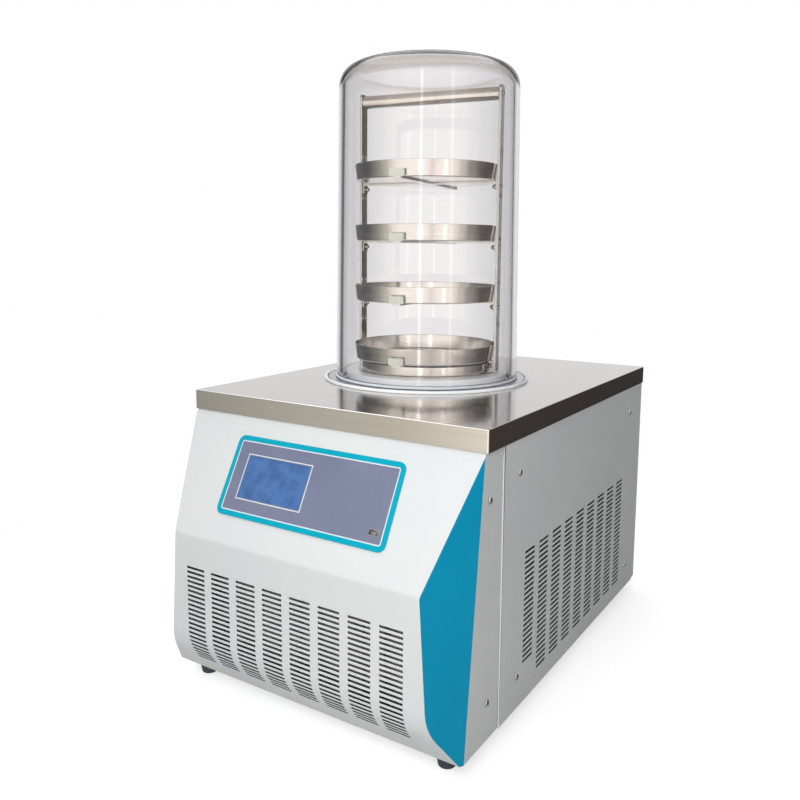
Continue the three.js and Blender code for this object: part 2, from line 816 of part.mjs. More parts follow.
function coldTrap() {
  const outer = trapRadius + trapSheet;
  const cup = turned([
    [0, trapFloor - trapSheet],
    [outer, trapFloor - trapSheet],
    [outer, trapTop - trapSheet],
    [trapRadius + trapLip, trapTop - trapSheet],
    [trapRadius + trapLip, trapTop],
    [trapRadius, trapTop],
    [trapRadius, trapFloor],
    [0, trapFloor],
  ], ringFacets);
  const sidePort = rod(
    portBore, 2 * trapWallCut, portFacets, alongY, 0, trapRadius - trapWallCut, portZ);
  const drain = rod(
    drainBore, 4 * trapSheet, smallFacets, upright, 0, 0, trapFloor - 2 * trapSheet);
  return solid(cup).subtract(solid(sidePort)).subtract(solid(drain));
}

function trapFoam() {
  const jacket = turned([
    [0, foamBottom],
    [foamOuter, foamBottom],
    [foamOuter, foamTop],
    [foamInner, foamTop],
    [foamInner, foamBottom + foamFloor],
    [0, foamBottom + foamFloor],
  ], ringFacets);
  const sidePort = rod(
    portBore + portWall + clearance, 3 * foamThickness, portFacets, alongY,
    0, foamInner - foamThickness, portZ);
  const drain = rod(
    drainPipe + clearance, 3 * foamFloor, smallFacets, upright, 0, 0, foamBottom - foamFloor);
  return solid(jacket).subtract(solid(sidePort)).subtract(solid(drain));
}

add("cold_trap", faces(coldTrap()), brushedSteel, trapAxis);
add("trap_insulation", faces(trapFoam()), foam, trapAxis);
add("trap_flange",
  ring(trapRadius, flangeRadius, plateTop + clearance, flangeTop, ringFacets), steel, trapAxis);

function rimRing() {
  const inner = rimRadius - rimWidth / 2;
  const outer = rimRadius + rimWidth / 2;
  const base = plateTop + clearance;
  const bevel = rimWidth / 3;
  return turned([
    [inner, base],
    [outer, base],
    [outer, base + rimHeight - bevel],
    [outer - bevel, base + rimHeight],
    [inner + bevel, base + rimHeight],
    [inner, base + rimHeight - bevel],
    [inner, base],
  ], ringFacets);
}

add("rim_ring", rimRing(), whitePlastic, trapAxis);
add("jar_seal",
  ring(jarRadius - jarWall - sealMargin, jarRadius + sealMargin,
    sealBottom, sealBottom + sealThickness, ringFacets),
  siliconeRubber, trapAxis);

// ---- bell jar ----

function bellJar() {
  const inner = jarRadius - jarWall;
  const innerShoulder = jarShoulder - jarWall;
  const top = jarBottom + jarHeight;
  const topOuter = jarRadius - jarTaper;
  const topInner = topOuter - jarWall;
  const outerEdge = rounded([jarRadius, jarBottom], [topOuter, top], [0, top], jarShoulder, 4);
  const innerEdge = rounded(
    [0, jarCeiling], [topInner, jarCeiling], [inner, jarBottom], innerShoulder, 3);
  return turned([
    [inner, jarBottom],
    [jarRadius, jarBottom],
    ...outerEdge,
    [0, top],
    [0, jarCeiling],
    ...innerEdge,
    [inner, jarBottom],
  ], ringFacets);
}

add("bell_jar", bellJar(), clear, trapAxis);

// ---- disc and guide cylinder ----

function guideCylinder() {
  const top = discTop + guideAbove;
  const bottom = discBottom - guideBelow;
  const inner = guideRadius - guideSheet;
  return turned([
    [inner, bottom],
    [guideRadius, bottom],
    [guideRadius, discTop + clearance],
    [guideRadius + guideBrim, discTop + clearance],
    [guideRadius + guideBrim, discTop + clearance + guideSheet],
    [guideRadius, discTop + clearance + guideSheet],
    [guideRadius, top],
    [inner, top],
    [inner, bottom],
  ], ringFacets);
}

add("guide_disc",
  ring(guideRadius + clearance, discRadius, discBottom, discTop, ringFacets), whitePlastic, trapAxis);
add("guide_cylinder", guideCylinder(), brushedSteel, trapAxis);

// ---- rack ----

function rackUpright() {
  const half = uprightWidth / 2;
  const bar = slab([
    [-half, 0],
    [half, 0],
    ...rounded([half, 0], [half, uprightHeight], [-half, uprightHeight], uprightCorner, 2),
    ...rounded([half, uprightHeight], [-half, uprightHeight], [-half, 0], uprightCorner, 2),
  ], uprightThickness).applyMatrix4(alongX).translate(-uprightThickness / 2, 0, rackBottom);
  const holes = [];
  for (let row = 0; row < holeRows; row += 1) {
    for (const y of [-holePairGap / 2, holePairGap / 2]) {
      const z = rackBottom + holeFirst + row * holePitch;
      holes.push(rod(uprightHole, 3 * uprightThickness, 6, alongX, -1.5 * uprightThickness, y, z));
    }
  }
  return faces(solid(bar).subtract(solid(mergeGeometries(holes))));
}

const handleHalf = uprightSpread - uprightThickness / 2 - clearance;
const handleTube = ring(handleRadius - handleWall, handleRadius, 0, 2 * handleHalf, 14);
const rack = new THREE.Group();
rack.rotation.z = rackTurn;
trapAxis.add(rack);
add("rack_upright_left", rackUpright(), brushedSteel, rack).position.x = -uprightSpread;
add("rack_upright_right", rackUpright(), brushedSteel, rack).position.x = uprightSpread;
add("rack_handle", handleTube.applyMatrix4(alongX).translate(-handleHalf, 0, handleZ), steel, rack);

// ---- shelves, clips and trays ----

const clipFace = trayTopRadius + traySlide + clearance;
const tongueY = clipFace + (clipDepth - shelfSheet) / 2;

// A cross of two flat bars: ears turned down at the uprights, tongues turned up
// at the front and rear.
function shelfCross() {
  const half = shelfBar / 2;
  const reach = handleHalf;
  const tongueEnd = tongueY + shelfSheet;
  const bodies = [
    block(-reach, reach, -half, half, -shelfSheet, 0),
    block(-reach, -reach + shelfSheet, -half, half, -shelfEar, 0),
    block(reach - shelfSheet, reach, -half, half, -shelfEar, 0),
    block(-half, half, -tongueEnd, tongueEnd, -shelfSheet, 0),
    block(-half, half, -tongueEnd, -tongueY, -shelfSheet, tongueHeight),
    block(-half, half, tongueY, tongueEnd, -shelfSheet, tongueHeight),
  ].map(solid);
  return bodies.reduce((whole, bar) => whole.add(bar));
}

// A moulded clip pushed over the front tongue.
function trayClip() {
  const half = clipWidth / 2;
  const slot = shelfBar / 2 + clearance;
  const body = solid(block(
    -half, half, -clipFace - clipDepth, -clipFace, clearance, clearance + clipHeight));
  const socket = solid(block(
    -slot, slot, -tongueY - shelfSheet - clearance, -tongueY + clearance,
    -overcut, tongueHeight + clearance));
  return body.subtract(socket);
}

function tray() {
  return turned([
    [0, 0],
    [trayBaseRadius, 0],
    [trayTopRadius, trayHeight],
    [trayTopRadius - traySheet, trayHeight],
    [trayBaseRadius - traySheet, traySheet],
    [0, traySheet],
  ], ringFacets);
}

for (let i = 0; i < shelfCount; i += 1) {
  const shelf = new THREE.Group();
  shelf.position.z = discTop + shelfFirst + i * shelfPitch;
  rack.add(shelf);
  add(`shelf_cross_${i + 1}`, faces(shelfCross()), steel, shelf);
  add(`tray_clip_${i + 1}`, faces(trayClip()), palePlastic, shelf);
  add(`tray_${i + 1}`, tray(), brushedSteel, shelf).position.set(0, -traySlide, clearance);
}

// ---- compressor, condenser and fan ----

function compressor() {
  const base = panTop + clearance;
  const foot = base + compressorBaseSheet;
  const top = foot + compressorHeight;
  const dome = rounded(
    [compressorRadius, foot], [compressorRadius, top], [0, top], compressorRadius / 2, 4);
  const shell = turned([
    [0, foot - weld],
    [compressorRadius, foot - weld],
    ...dome,
    [0, top],
  ], 20).translate(compressorX, compressorY, 0);
  const half = compressorBase / 2;
  const plate = block(
    compressorX - half, compressorX + half, compressorY - half, compressorY + half, base, foot);
  return faces(solid(shell).add(solid(plate)));
}

// Finned block, with its fins along Z.
function condenser() {
  const half = condenserWidth / 2;
  const pitch = condenserWidth / (2 * condenserFins - 1);
  const edge = [];
  for (let i = 0; i < condenserFins; i += 1) {
    const x = -half + 2 * i * pitch;
    edge.push([x, 0], [x + pitch, 0]);
    if (i < condenserFins - 1) edge.push([x + pitch, finDepth], [x + 2 * pitch, finDepth]);
  }
  const outline = [...edge, [half, condenserDepth], [-half, condenserDepth]];
  return slab(outline, condenserHeight).translate(0, condenserFrontY, panTop + clearance);
}

function fanShroud() {
  const half = condenserWidth / 2;
  const bottom = panTop + clearance;
  const top = bottom + condenserHeight;
  const s = shroudSheet;
  return solid(block(-half, half, shroudFrontY, shroudRearY, bottom, top))
    .subtract(solid(block(
      -half + s, half - s, shroudFrontY - overcut, shroudRearY - s, bottom + s, top - s)))
    .subtract(solid(rod(fanHole, 4 * s, 24, alongY, 0, shroudRearY - 2 * s, fanZ)));
}

// Bracket across the fan opening that carries the motor.
function fanBracket() {
  const half = fanHole + fanBracketWidth / 2;
  const bar = block(-half, half, fanBracketY, fanBracketY + fanBracketSheet,
    fanZ - fanBracketWidth / 2, fanZ + fanBracketWidth / 2);
  const hole = rod(
    shaftRadius + hubGap / 2, 4 * fanBracketSheet, smallFacets, alongY,
    0, fanBracketY - fanBracketSheet, fanZ);
  return solid(bar).subtract(solid(hole));
}

function fanMotor() {
  const body = rod(motorRadius, motorLength, 16, alongY, 0, motorFrontY, fanZ);
  const bore = rod(
    shaftRadius + clearance, shaftLength, smallFacets, alongY, 0, motorFrontY - overcut, fanZ);
  return solid(body).subtract(solid(bore));
}

// Hub, twisted blades and shaft, turning about Y.
function fanRotor() {
  const hubRear = fanBracketY - hubGap;
  const hubFront = hubRear - hubLength;
  const shaftEnd = hubRear + shaftLength;
  const hub = solid(rod(hubRadius, hubLength, 16, alongY, 0, hubFront, 0));
  const shaft = solid(rod(
    shaftRadius, shaftEnd - hubFront - hubGap, smallFacets, alongY, 0, hubFront + hubGap, 0));
  const middle = (hubFront + hubRear) / 2;
  let rotor = hub.add(shaft);
  for (let i = 0; i < bladeCount; i += 1) {
    const root = hubRadius - hubGap;
    const blade = new THREE.BoxGeometry(bladeChord, bladeThickness, bladeTip - root)
      .translate(0, 0, (bladeTip + root) / 2)
      .rotateZ(bladePitch)
      .translate(0, middle, 0)
      .rotateY(2 * Math.PI * i / bladeCount);
    rotor = rotor.add(solid(blade));
  }
  return faces(rotor);
}

add("compressor", compressor(), blackEnamel);
add("condenser", condenser(), aluminium);
add("fan_shroud", faces(fanShroud()), galvanised);
add("fan_bracket", faces(fanBracket()), galvanised);
add("fan_motor", faces(fanMotor()), blackEnamel);
add("fan_rotor", fanRotor(), aluminium).position.z = fanZ;

// ---- pipes and electrics ----

const point = (x, y, z) => new THREE.Vector3(x, y, z);
const compressorSide = compressorX - compressorRadius - clearance;
const condenserMiddleY = condenserFrontY + condenserDepth - condenserDepth / 3;

add("discharge_pipe", pipe([
  point(compressorSide, compressorY, dischargeHeight),
  point(dischargeX, compressorY, dischargeHeight),
  point(dischargeX, condenserMiddleY, dischargeHeight),
  point(-condenserWidth / 2 - clearance, condenserMiddleY, dischargeHeight),
], gasPipe), copper);

add("suction_pipe", pipe([
  point(compressorX, compressorY - compressorRadius - clearance, suctionHeight),
  point(compressorX, jarY, suctionHeight),
  point(compressorX, jarY, foamBottom - clearance),
], gasPipe), copper);

add("drain_pipe", pipe([
  point(jarX, jarY, trapFloor - trapSheet - clearance),
  point(jarX, jarY, drainHeight),
  point(jarX, backInner - valveInside - clearance, drainHeight),
], drainPipe), copper);

const controlBox = new THREE.BoxGeometry(electricsSize.x, electricsSize.y, electricsSize.z);
controlBox.translate(electricsX, electricsY, panTop + clearance + electricsSize.z / 2);
add("control_box", controlBox, galvanised);

// ---- vacuum line ----

function vacuumPort() {
  const tube = portBore + portWall;
  const seat = backOuter + clearance;
  const flange = portEndY - portFlangeThickness;
  return turned([
    [portBore, backInner - portInside],
    [tube, backInner - portInside],
    [tube, seat],
    [portCollar, seat],
    [portCollar, seat + portCollarThickness],
    [tube, seat + portCollarThickness],
    [tube, flange - (portFlange - tube) / 2],
    [portFlange, flange],
    [portFlange, portEndY],
    [portBore, portEndY],
    [portBore, backInner - portInside],
  ], portFacets).applyMatrix4(alongY).translate(jarX, 0, portZ);
}

function vacuumPipe() {
  const front = jarY + trapRadius + trapSheet + clearance;
  const rear = backInner - portInside - clearance;
  return ring(portBore, portBore + portWall, front, rear, portFacets)
    .applyMatrix4(alongY).translate(jarX, 0, portZ);
}

add("vacuum_port", vacuumPort(), steel);
add("vacuum_pipe", vacuumPipe(), brushedSteel);

// ---- drain valve ----

const valveSeat = backOuter + clearance;
const valveAxisY = valveSeat + valveLength / 2;
const valveBossTop = drainHeight + valveRadius + valveBoss;

function drainValve() {
  const body = turned([
    [drainBore, backInner - valveInside],
    [valveNozzle, backInner - valveInside],
    [valveNozzle, valveSeat],
    [valveRadius, valveSeat],
    [valveRadius, valveSeat + valveLength],
    [valveNozzle, valveSeat + valveLength],
    [valveNozzle, valveSeat + valveLength + valveNozzleLength],
    [drainBore, valveSeat + valveLength + valveNozzleLength],
    [drainBore, backInner - valveInside],
  ], valveFacets).applyMatrix4(alongY).translate(jarX, 0, drainHeight);
  const bossBottom = drainHeight + drainBore + bossWall;
  const boss = rod(
    leverHub + bossWall, valveBossTop - bossBottom, smallFacets, upright,
    jarX, valveAxisY, bossBottom);
  const stemHole = rod(
    leverStem + clearance, leverStemHeight + overcut, smallFacets, upright,
    jarX, valveAxisY, valveBossTop - leverStemHeight);
  return solid(body).add(solid(boss)).subtract(solid(stemHole));
}

// Quarter-turn lever, drawn closed: across the valve.
function drainLever() {
  const base = valveBossTop + clearance;
  const hub = rod(leverHub, leverThickness * 2, smallFacets, upright, jarX, valveAxisY, base);
  const stemBottom = base - leverStemHeight + weld;
  const stem = rod(leverStem, leverStemHeight, smallFacets, upright, jarX, valveAxisY, stemBottom);
  const arm = block(
    jarX, jarX + leverLength, valveAxisY - leverWidth / 2, valveAxisY + leverWidth / 2,
    base + leverThickness, base + 2 * leverThickness);
  return solid(hub).add(solid(stem)).add(solid(arm));
}

add("drain_valve", faces(drainValve()), brass);
add("drain_lever", faces(drainLever()), redPlastic);

// ---- power inlet and mains switch ----

// A moulded body behind a rim on the back panel, with a pocket from its face.
function panelFitting(width, height, depth, rim, z, wall, pocketDepth) {
  const face = backOuter + clearance + rimThickness;
  const centred = (w, h, y0, y1) =>
    solid(block(inletX - w / 2, inletX + w / 2, y0, y1, z - h / 2, z + h / 2));
  return centred(width, height, face - depth, face)
    .add(centred(width + 2 * rim, height + 2 * rim, backOuter + clearance, face))
    .subtract(centred(width - 2 * wall, height - 2 * wall, face - pocketDepth, face + overcut));
}

function powerInlet() {
  const face = backOuter + clearance + rimThickness;
  const floor = face - inletCavity;
  const body = panelFitting(
    inletWidth, inletHeight, inletDepth, inletRim, inletZ, inletWall, inletCavity);
  const pins = [[-pinSpread, -pinOffset], [0, pinOffset], [pinSpread, -pinOffset]];
  return pins.reduce((whole, [x, z]) => whole.add(solid(block(
    inletX + x - pinWidth / 2, inletX + x + pinWidth / 2, floor - weld, floor + pinLength,
    inletZ + z - pinHeight / 2, inletZ + z + pinHeight / 2))), body);
}

const rockerY = backOuter + clearance + rimThickness - rockerDepth / 2;

function switchRocker() {
  const halfHeight = switchHeight / 2 - switchWall - rockerSwing;
  const width = switchWidth - 2 * switchWall - 2 * rockerClearance;
  const halfDepth = rockerDepth / 2;
  const profile = [
    [-halfDepth, -halfHeight],
    [halfDepth + rockerPeak, -halfHeight],
    [halfDepth, 0],
    [halfDepth + rockerPeak, halfHeight],
    [-halfDepth, halfHeight],
  ];
  return slab(profile, width)
    .applyMatrix4(alongX)
    .translate(-width / 2, 0, 0)
    .rotateX(-rockerTilt);
}

add("power_inlet", faces(powerInlet()), blackPlastic);
add("switch_housing",
  faces(panelFitting(
    switchWidth, switchHeight, switchDepth, switchRim, switchZ, switchWall, switchCavity)),
  blackPlastic);
add("switch_rocker", switchRocker(), redPlastic).position.set(inletX, rockerY, switchZ);

export default dryer;
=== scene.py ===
import math
import bmesh
import bpy
from mathutils import Matrix, Vector


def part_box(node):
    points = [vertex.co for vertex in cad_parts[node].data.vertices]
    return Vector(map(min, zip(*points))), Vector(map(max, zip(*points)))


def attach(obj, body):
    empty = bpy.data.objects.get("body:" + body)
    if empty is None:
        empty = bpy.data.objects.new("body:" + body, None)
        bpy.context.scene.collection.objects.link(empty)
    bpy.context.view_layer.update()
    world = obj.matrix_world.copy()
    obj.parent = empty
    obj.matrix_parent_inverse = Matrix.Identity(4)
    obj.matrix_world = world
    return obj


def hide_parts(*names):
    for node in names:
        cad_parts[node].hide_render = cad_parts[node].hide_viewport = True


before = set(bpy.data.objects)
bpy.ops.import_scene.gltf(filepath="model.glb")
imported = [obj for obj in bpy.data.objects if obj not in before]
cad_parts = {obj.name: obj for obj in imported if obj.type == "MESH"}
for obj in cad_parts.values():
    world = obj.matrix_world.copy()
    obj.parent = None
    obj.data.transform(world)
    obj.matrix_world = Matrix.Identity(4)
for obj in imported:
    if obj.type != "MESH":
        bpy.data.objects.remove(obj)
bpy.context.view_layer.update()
MM = 0.001

# The camera stands off the right front corner, a little higher than the lid of
# the cabinet, so that the front, the right side and the steel top all show.
camera_spot = (0.5695, -0.9879, 0.5532)
turn, dip, roll = (math.radians(angle) for angle in (32.581, 7.296, 0.424))
backwards = Vector((math.sin(turn) * math.cos(dip), -math.cos(turn) * math.cos(dip), math.sin(dip)))
level_right = Vector((math.cos(turn), math.sin(turn), 0))
level_up = backwards.cross(level_right)
camera_right = level_right * math.cos(roll) + level_up * math.sin(roll)
camera_up = level_up * math.cos(roll) - level_right * math.sin(roll)
bpy.ops.object.select_all(action="DESELECT")
bpy.ops.object.camera_add(location=camera_spot)
camera = bpy.context.object
camera.rotation_euler = Matrix((camera_right, camera_up, backwards)).transposed().to_euler()
camera.data.lens = 36.18
camera.data.shift_y = -0.0588
bpy.context.scene.camera = camera

# The room: a pale floor that takes the cabinet's soft shadow, before plain white.
# A soft lamp in front, a little to the right, and one overhead; polished steel
# mirrors a warm bright front, dark screens at both sides and a pale wall behind.
bpy.context.scene.view_settings.view_transform = "Standard"


def linear(red, green, blue):
    """A colour given as it looks on a screen, 0 to 255, as shaders take it."""
    parts = [value / 255 for value in (red, green, blue)]
    return tuple(p / 12.92 if p <= 0.04045 else ((p + 0.055) / 1.055) ** 2.4 for p in parts) + (1,)


def put(tree, kind, settings=None, **inputs):
    """Adds a shader node; its inputs are values, or the sockets that feed them."""
    added = tree.nodes.new("ShaderNode" + kind)
    for key, value in (settings or {}).items():
        setattr(added, key, value)
    for key, value in inputs.items():
        number = key[2:] if key.startswith("in") else ""
        socket = added.inputs[int(number) if number.isdigit() else key.replace("_", " ")]
        if isinstance(value, bpy.types.NodeSocket):
            tree.links.new(value, socket)
        else:
            socket.default_value = value
    return added


def ramp_over(tree, value, *stops):
    """Colours along a value, each stop a position and a colour; returns the colour socket."""
    ramp = put(tree, "ValToRGB", Fac=value)
    elements = ramp.color_ramp.elements
    elements[0].position, elements[0].color = stops[0]
    elements[1].position, elements[1].color = stops[-1]
    for position, colour in stops[1:-1]:
        elements.new(position).color = colour
    return ramp.outputs["Color"]


bpy.ops.object.select_all(action="DESELECT")
bpy.ops.mesh.primitive_plane_add(size=16)
floor = bpy.context.object
floor.name = "studio_floor"
floor_material = bpy.data.materials.new("studio_floor")
floor_material.use_nodes = True
tree = floor_material.node_tree
tree.nodes["Principled BSDF"].inputs["Roughness"].default_value = 0.9
tree.nodes["Principled BSDF"].inputs["Base Color"].default_value = (0.7, 0.7, 0.7, 1)
white = (1, 1, 1, 1)
place = put(tree, "TexCoord")
spread = put(tree, "VectorMath", {"operation": "LENGTH"}, in0=place.outputs["Object"])
reach = put(tree, "MapRange", {"interpolation_type": "SMOOTHSTEP"},
            Value=spread.outputs["Value"], From_Min=0.3, From_Max=0.9)
seen = put(tree, "LightPath").outputs["Is Camera Ray"]
faded = put(tree, "Math", {"operation": "MULTIPLY"}, in0=reach.outputs["Result"], in1=seen)
glow = put(tree, "Math", {"operation": "MULTIPLY"}, in0=seen, in1=0.6)
lit = put(tree, "Emission", Color=white, Strength=glow.outputs[0])
near = put(tree, "AddShader", in0=tree.nodes["Principled BSDF"].outputs["BSDF"],
           in1=lit.outputs[0])
far = put(tree, "Emission", Color=white, Strength=1.0)
both = put(tree, "MixShader", in0=faded.outputs[0], in1=near.outputs[0], in2=far.outputs[0])
tree.links.new(both.outputs[0], tree.nodes["Material Output"].inputs["Surface"])
floor.data.materials.append(floor_material)
floor.visible_glossy = floor.visible_transmission = False

world = bpy.data.worlds.new("studio")
bpy.context.scene.world = world
world.use_nodes = True
tree = world.node_tree
tree.nodes.clear()
path = put(tree, "LightPath")
place = put(tree, "TexCoord")
way = put(tree, "SeparateXYZ", Vector=place.outputs["Generated"])
height = way.outputs["Z"]
bearing = put(tree, "Math", {"operation": "ARCTAN2"}, in0=way.outputs["Y"], in1=way.outputs["X"])
bearing = put(tree, "MapRange", Value=bearing.outputs[0], From_Min=-math.pi, From_Max=math.pi)


def screens(*stops):
    """A wall all round the room, its shades given at bearings in degrees from +X."""
    return ramp_over(tree, bearing.outputs["Result"],
                     *(((angle + 180) / 360, (red, green, blue, 1))
                       for angle, red, green, blue in stops))


def rising(low, high):
    """From 0 to 1 as the upward slope of a ray goes from low to high."""
    step = put(tree, "MapRange", {"interpolation_type": "SMOOTHSTEP"},
               Value=height, From_Min=low, From_Max=high)
    return step.outputs["Result"]


# What metal mirrors: the walls, a bright ceiling and a dull floor.
walls = screens(
    (-180, 0.1, 0.1, 0.105), (-160, 0.13, 0.13, 0.13), (-150, 0.25, 0.25, 0.24),
    (-140, 0.39, 0.39, 0.35), (-130, 0.66, 0.64, 0.56), (-122, 0.8, 0.76, 0.65),
    (-116, 1.2, 1.12, 0.97), (-108, 1.5, 1.38, 1.22), (-98, 1.65, 1.54, 1.44),
    (-71, 1.65, 1.54, 1.44), (-68.5, 4.5, 4.3, 4.2), (-66, 1.65, 1.54, 1.44),
    (-56, 1.6, 1.48, 1.38), (-52, 1.15, 1.03, 0.98), (-46, 1.6, 1.48, 1.38),
    (-32.5, 1.65, 1.54, 1.44), (-30, 3.4, 3.25, 3.1), (-27.5, 1.6, 1.48, 1.38),
    (-12, 1.4, 1.26, 1.16), (-5, 0.9, 0.83, 0.76), (2, 0.8, 0.77, 0.72),
    (10, 0.37, 0.36, 0.35), (19, 0.36, 0.34, 0.32), (28, 0.2, 0.18, 0.17),
    (49, 0.1, 0.08, 0.075), (75, 0.045, 0.04, 0.04), (79, 0.06, 0.06, 0.06),
    (83, 0.3, 0.3, 0.3), (84.5, 0.87, 0.87, 0.88), (148, 0.87, 0.87, 0.87),
    (153, 0.14, 0.135, 0.14))
ceiling = ramp_over(tree, height, (0.6, (0.6, 0.6, 0.62, 1)), (0.72, (2.4, 2.4, 2.4, 1)))
topped = put(tree, "MixRGB", Fac=rising(0.25, 0.6), Color1=walls, Color2=ceiling)
around = put(tree, "MixRGB", Fac=rising(-0.35, -0.7), Color1=topped.outputs["Color"],
             Color2=(0.4, 0.39, 0.38, 1))
mirrored = put(tree, "Background", Color=around.outputs["Color"], Strength=1.0)

# What shows through the jar: a pale backdrop straight behind it, and the walls
# where light has bounced off the steel inside.
bounces = put(tree, "Math", {"operation": "MINIMUM"}, in0=path.outputs["Glossy Depth"], in1=1)
straight = put(tree, "MixRGB", Fac=bounces.outputs[0], Color1=(0.87, 0.87, 0.87, 1), Color2=walls)
behind = put(tree, "MixRGB", Fac=rising(0.2, 0.5), Color1=straight.outputs["Color"],
             Color2=(0.56, 0.52, 0.48, 1))
refracted = put(tree, "Background", Color=behind.outputs["Color"], Strength=1.0)

# What lights dull surfaces: dimmer walls, brightest behind the cabinet.
bounced = screens((-180, 0.4, 0.405, 0.41), (-100, 0.3, 0.31, 0.315), (-20, 0.15, 0.15, 0.15),
                  (30, 0.04, 0.04, 0.04), (95, 0.04, 0.04, 0.04), (112, 0.75, 0.76, 0.76),
                  (150, 0.75, 0.76, 0.76), (180, 0.4, 0.405, 0.41))
soft = put(tree, "Background", Color=bounced, Strength=1.0)
plain = put(tree, "Background", Color=white, Strength=1.0)
sky = put(tree, "MixShader", in0=path.outputs["Is Glossy Ray"],
          in1=soft.outputs[0], in2=mirrored.outputs[0])
sky = put(tree, "MixShader", in0=path.outputs["Is Transmission Ray"],
          in1=sky.outputs[0], in2=refracted.outputs[0])
sky = put(tree, "MixShader", in0=path.outputs["Is Camera Ray"],
          in1=sky.outputs[0], in2=plain.outputs[0])
put(tree, "OutputWorld", Surface=sky.outputs[0])

for name, spot, aim, size, power in (
    ("key_lamp", (0.65, -1.35, 1.0), (0.05, -0.2, 0.25), 0.8, 13.5),
    ("top_lamp", (-0.35, -0.1, 2.2), (0, 0, 0.4), 1.4, 18),
):
    bpy.ops.object.select_all(action="DESELECT")
    bpy.ops.object.light_add(type="AREA", location=spot)
    lamp = bpy.context.object
    lamp.name = name
    lamp.data.size = size
    lamp.data.energy = power
    lamp.rotation_euler = (Vector(aim) - Vector(spot)).to_track_quat("-Z", "Y").to_euler()
    lamp.visible_camera = lamp.visible_glossy = lamp.visible_transmission = False

# Base pan, corner posts and brackets: galvanised sheet, folded and spot welded.
# Its zinc shows as pale and dark crystal patches a few millimetres across.


def finish(name, colour, metallic, roughness):
    """A material whose shader is set and whose surface detail is still to come."""
    material = bpy.data.materials.new(name)
    material.use_nodes = True
    shader = material.node_tree.nodes["Principled BSDF"]
    shader.inputs["Base Color"].default_value = colour
    shader.inputs["Metallic"].default_value = metallic
    shader.inputs["Roughness"].default_value = roughness
    return material


def surface(material, stretch=(1, 1, 1)):
    """The material's tree, its shader, and its place on the piece, stretched for grain."""
    tree = material.node_tree
    place = put(tree, "TexCoord")
    mapping = put(tree, "Mapping", Vector=place.outputs["Object"], Scale=stretch)
    return tree, tree.nodes["Principled BSDF"], mapping.outputs["Vector"]


def vary(material, scale, dark, light, stretch=(1, 1, 1), detail=3):
    """The base colour drifts between two shades."""
    tree, shader, spot = surface(material, stretch)
    noise = put(tree, "TexNoise", Vector=spot, Scale=scale, Detail=detail)
    shades = ramp_over(tree, noise.outputs["Fac"], (0.3, dark), (0.7, light))
    tree.links.new(shades, shader.inputs["Base Color"])


def roughen(material, scale, smooth, rough, stretch=(1, 1, 1)):
    """The gloss changes a little from place to place."""
    tree, shader, spot = surface(material, stretch)
    noise = put(tree, "TexNoise", Vector=spot, Scale=scale, Detail=4)
    span = put(tree, "MapRange", Value=noise.outputs["Fac"], From_Min=0.3, From_Max=0.7,
               To_Min=smooth, To_Max=rough)
    tree.links.new(span.outputs["Result"], shader.inputs["Roughness"])


def grain(material, scale, height, stretch=(1, 1, 1)):
    """A fine relief, height in metres."""
    tree, shader, spot = surface(material, stretch)
    noise = put(tree, "TexNoise", Vector=spot, Scale=scale, Detail=2)
    bump = put(tree, "Bump", Height=noise.outputs["Fac"], Distance=height, Strength=1)
    tree.links.new(bump.outputs["Normal"], shader.inputs["Normal"])


def dress(material, *names):
    """The finish goes on nodes of the frame."""
    for name in names:
        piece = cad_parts[name]
        piece.data.materials.clear()
        piece.data.materials.append(material)


zinc = finish("zinc_sheet", linear(150, 154, 158), 0.85, 0.5)
tree, shader, spot = surface(zinc)
cells = put(tree, "TexVoronoi", Vector=spot, Scale=260)
shades = ramp_over(tree, cells.outputs["Color"],
                   (0.0, linear(128, 132, 137)), (1.0, linear(176, 180, 184)))
tree.links.new(shades, shader.inputs["Base Color"])
roughen(zinc, 180, 0.42, 0.6)
dress(zinc, "base_pan", "post_front_left", "post_front_right", "post_rear_left", "post_rear_right",
      "cover_bracket_left", "cover_bracket_right", "control_box")

# Feet: four moulded rubber cones, screwed up into the base pan. The moulding has
# a rounded tread, a side that widens upwards and a flange under the pan.


def arc(centre_r, centre_h, radius, start, end, steps):
    """Points of a round corner in a turned outline, angles in degrees."""
    angles = [math.radians(start + (end - start) * step / steps) for step in range(steps + 1)]
    return [(centre_r + radius * math.cos(a), centre_h + radius * math.sin(a)) for a in angles]


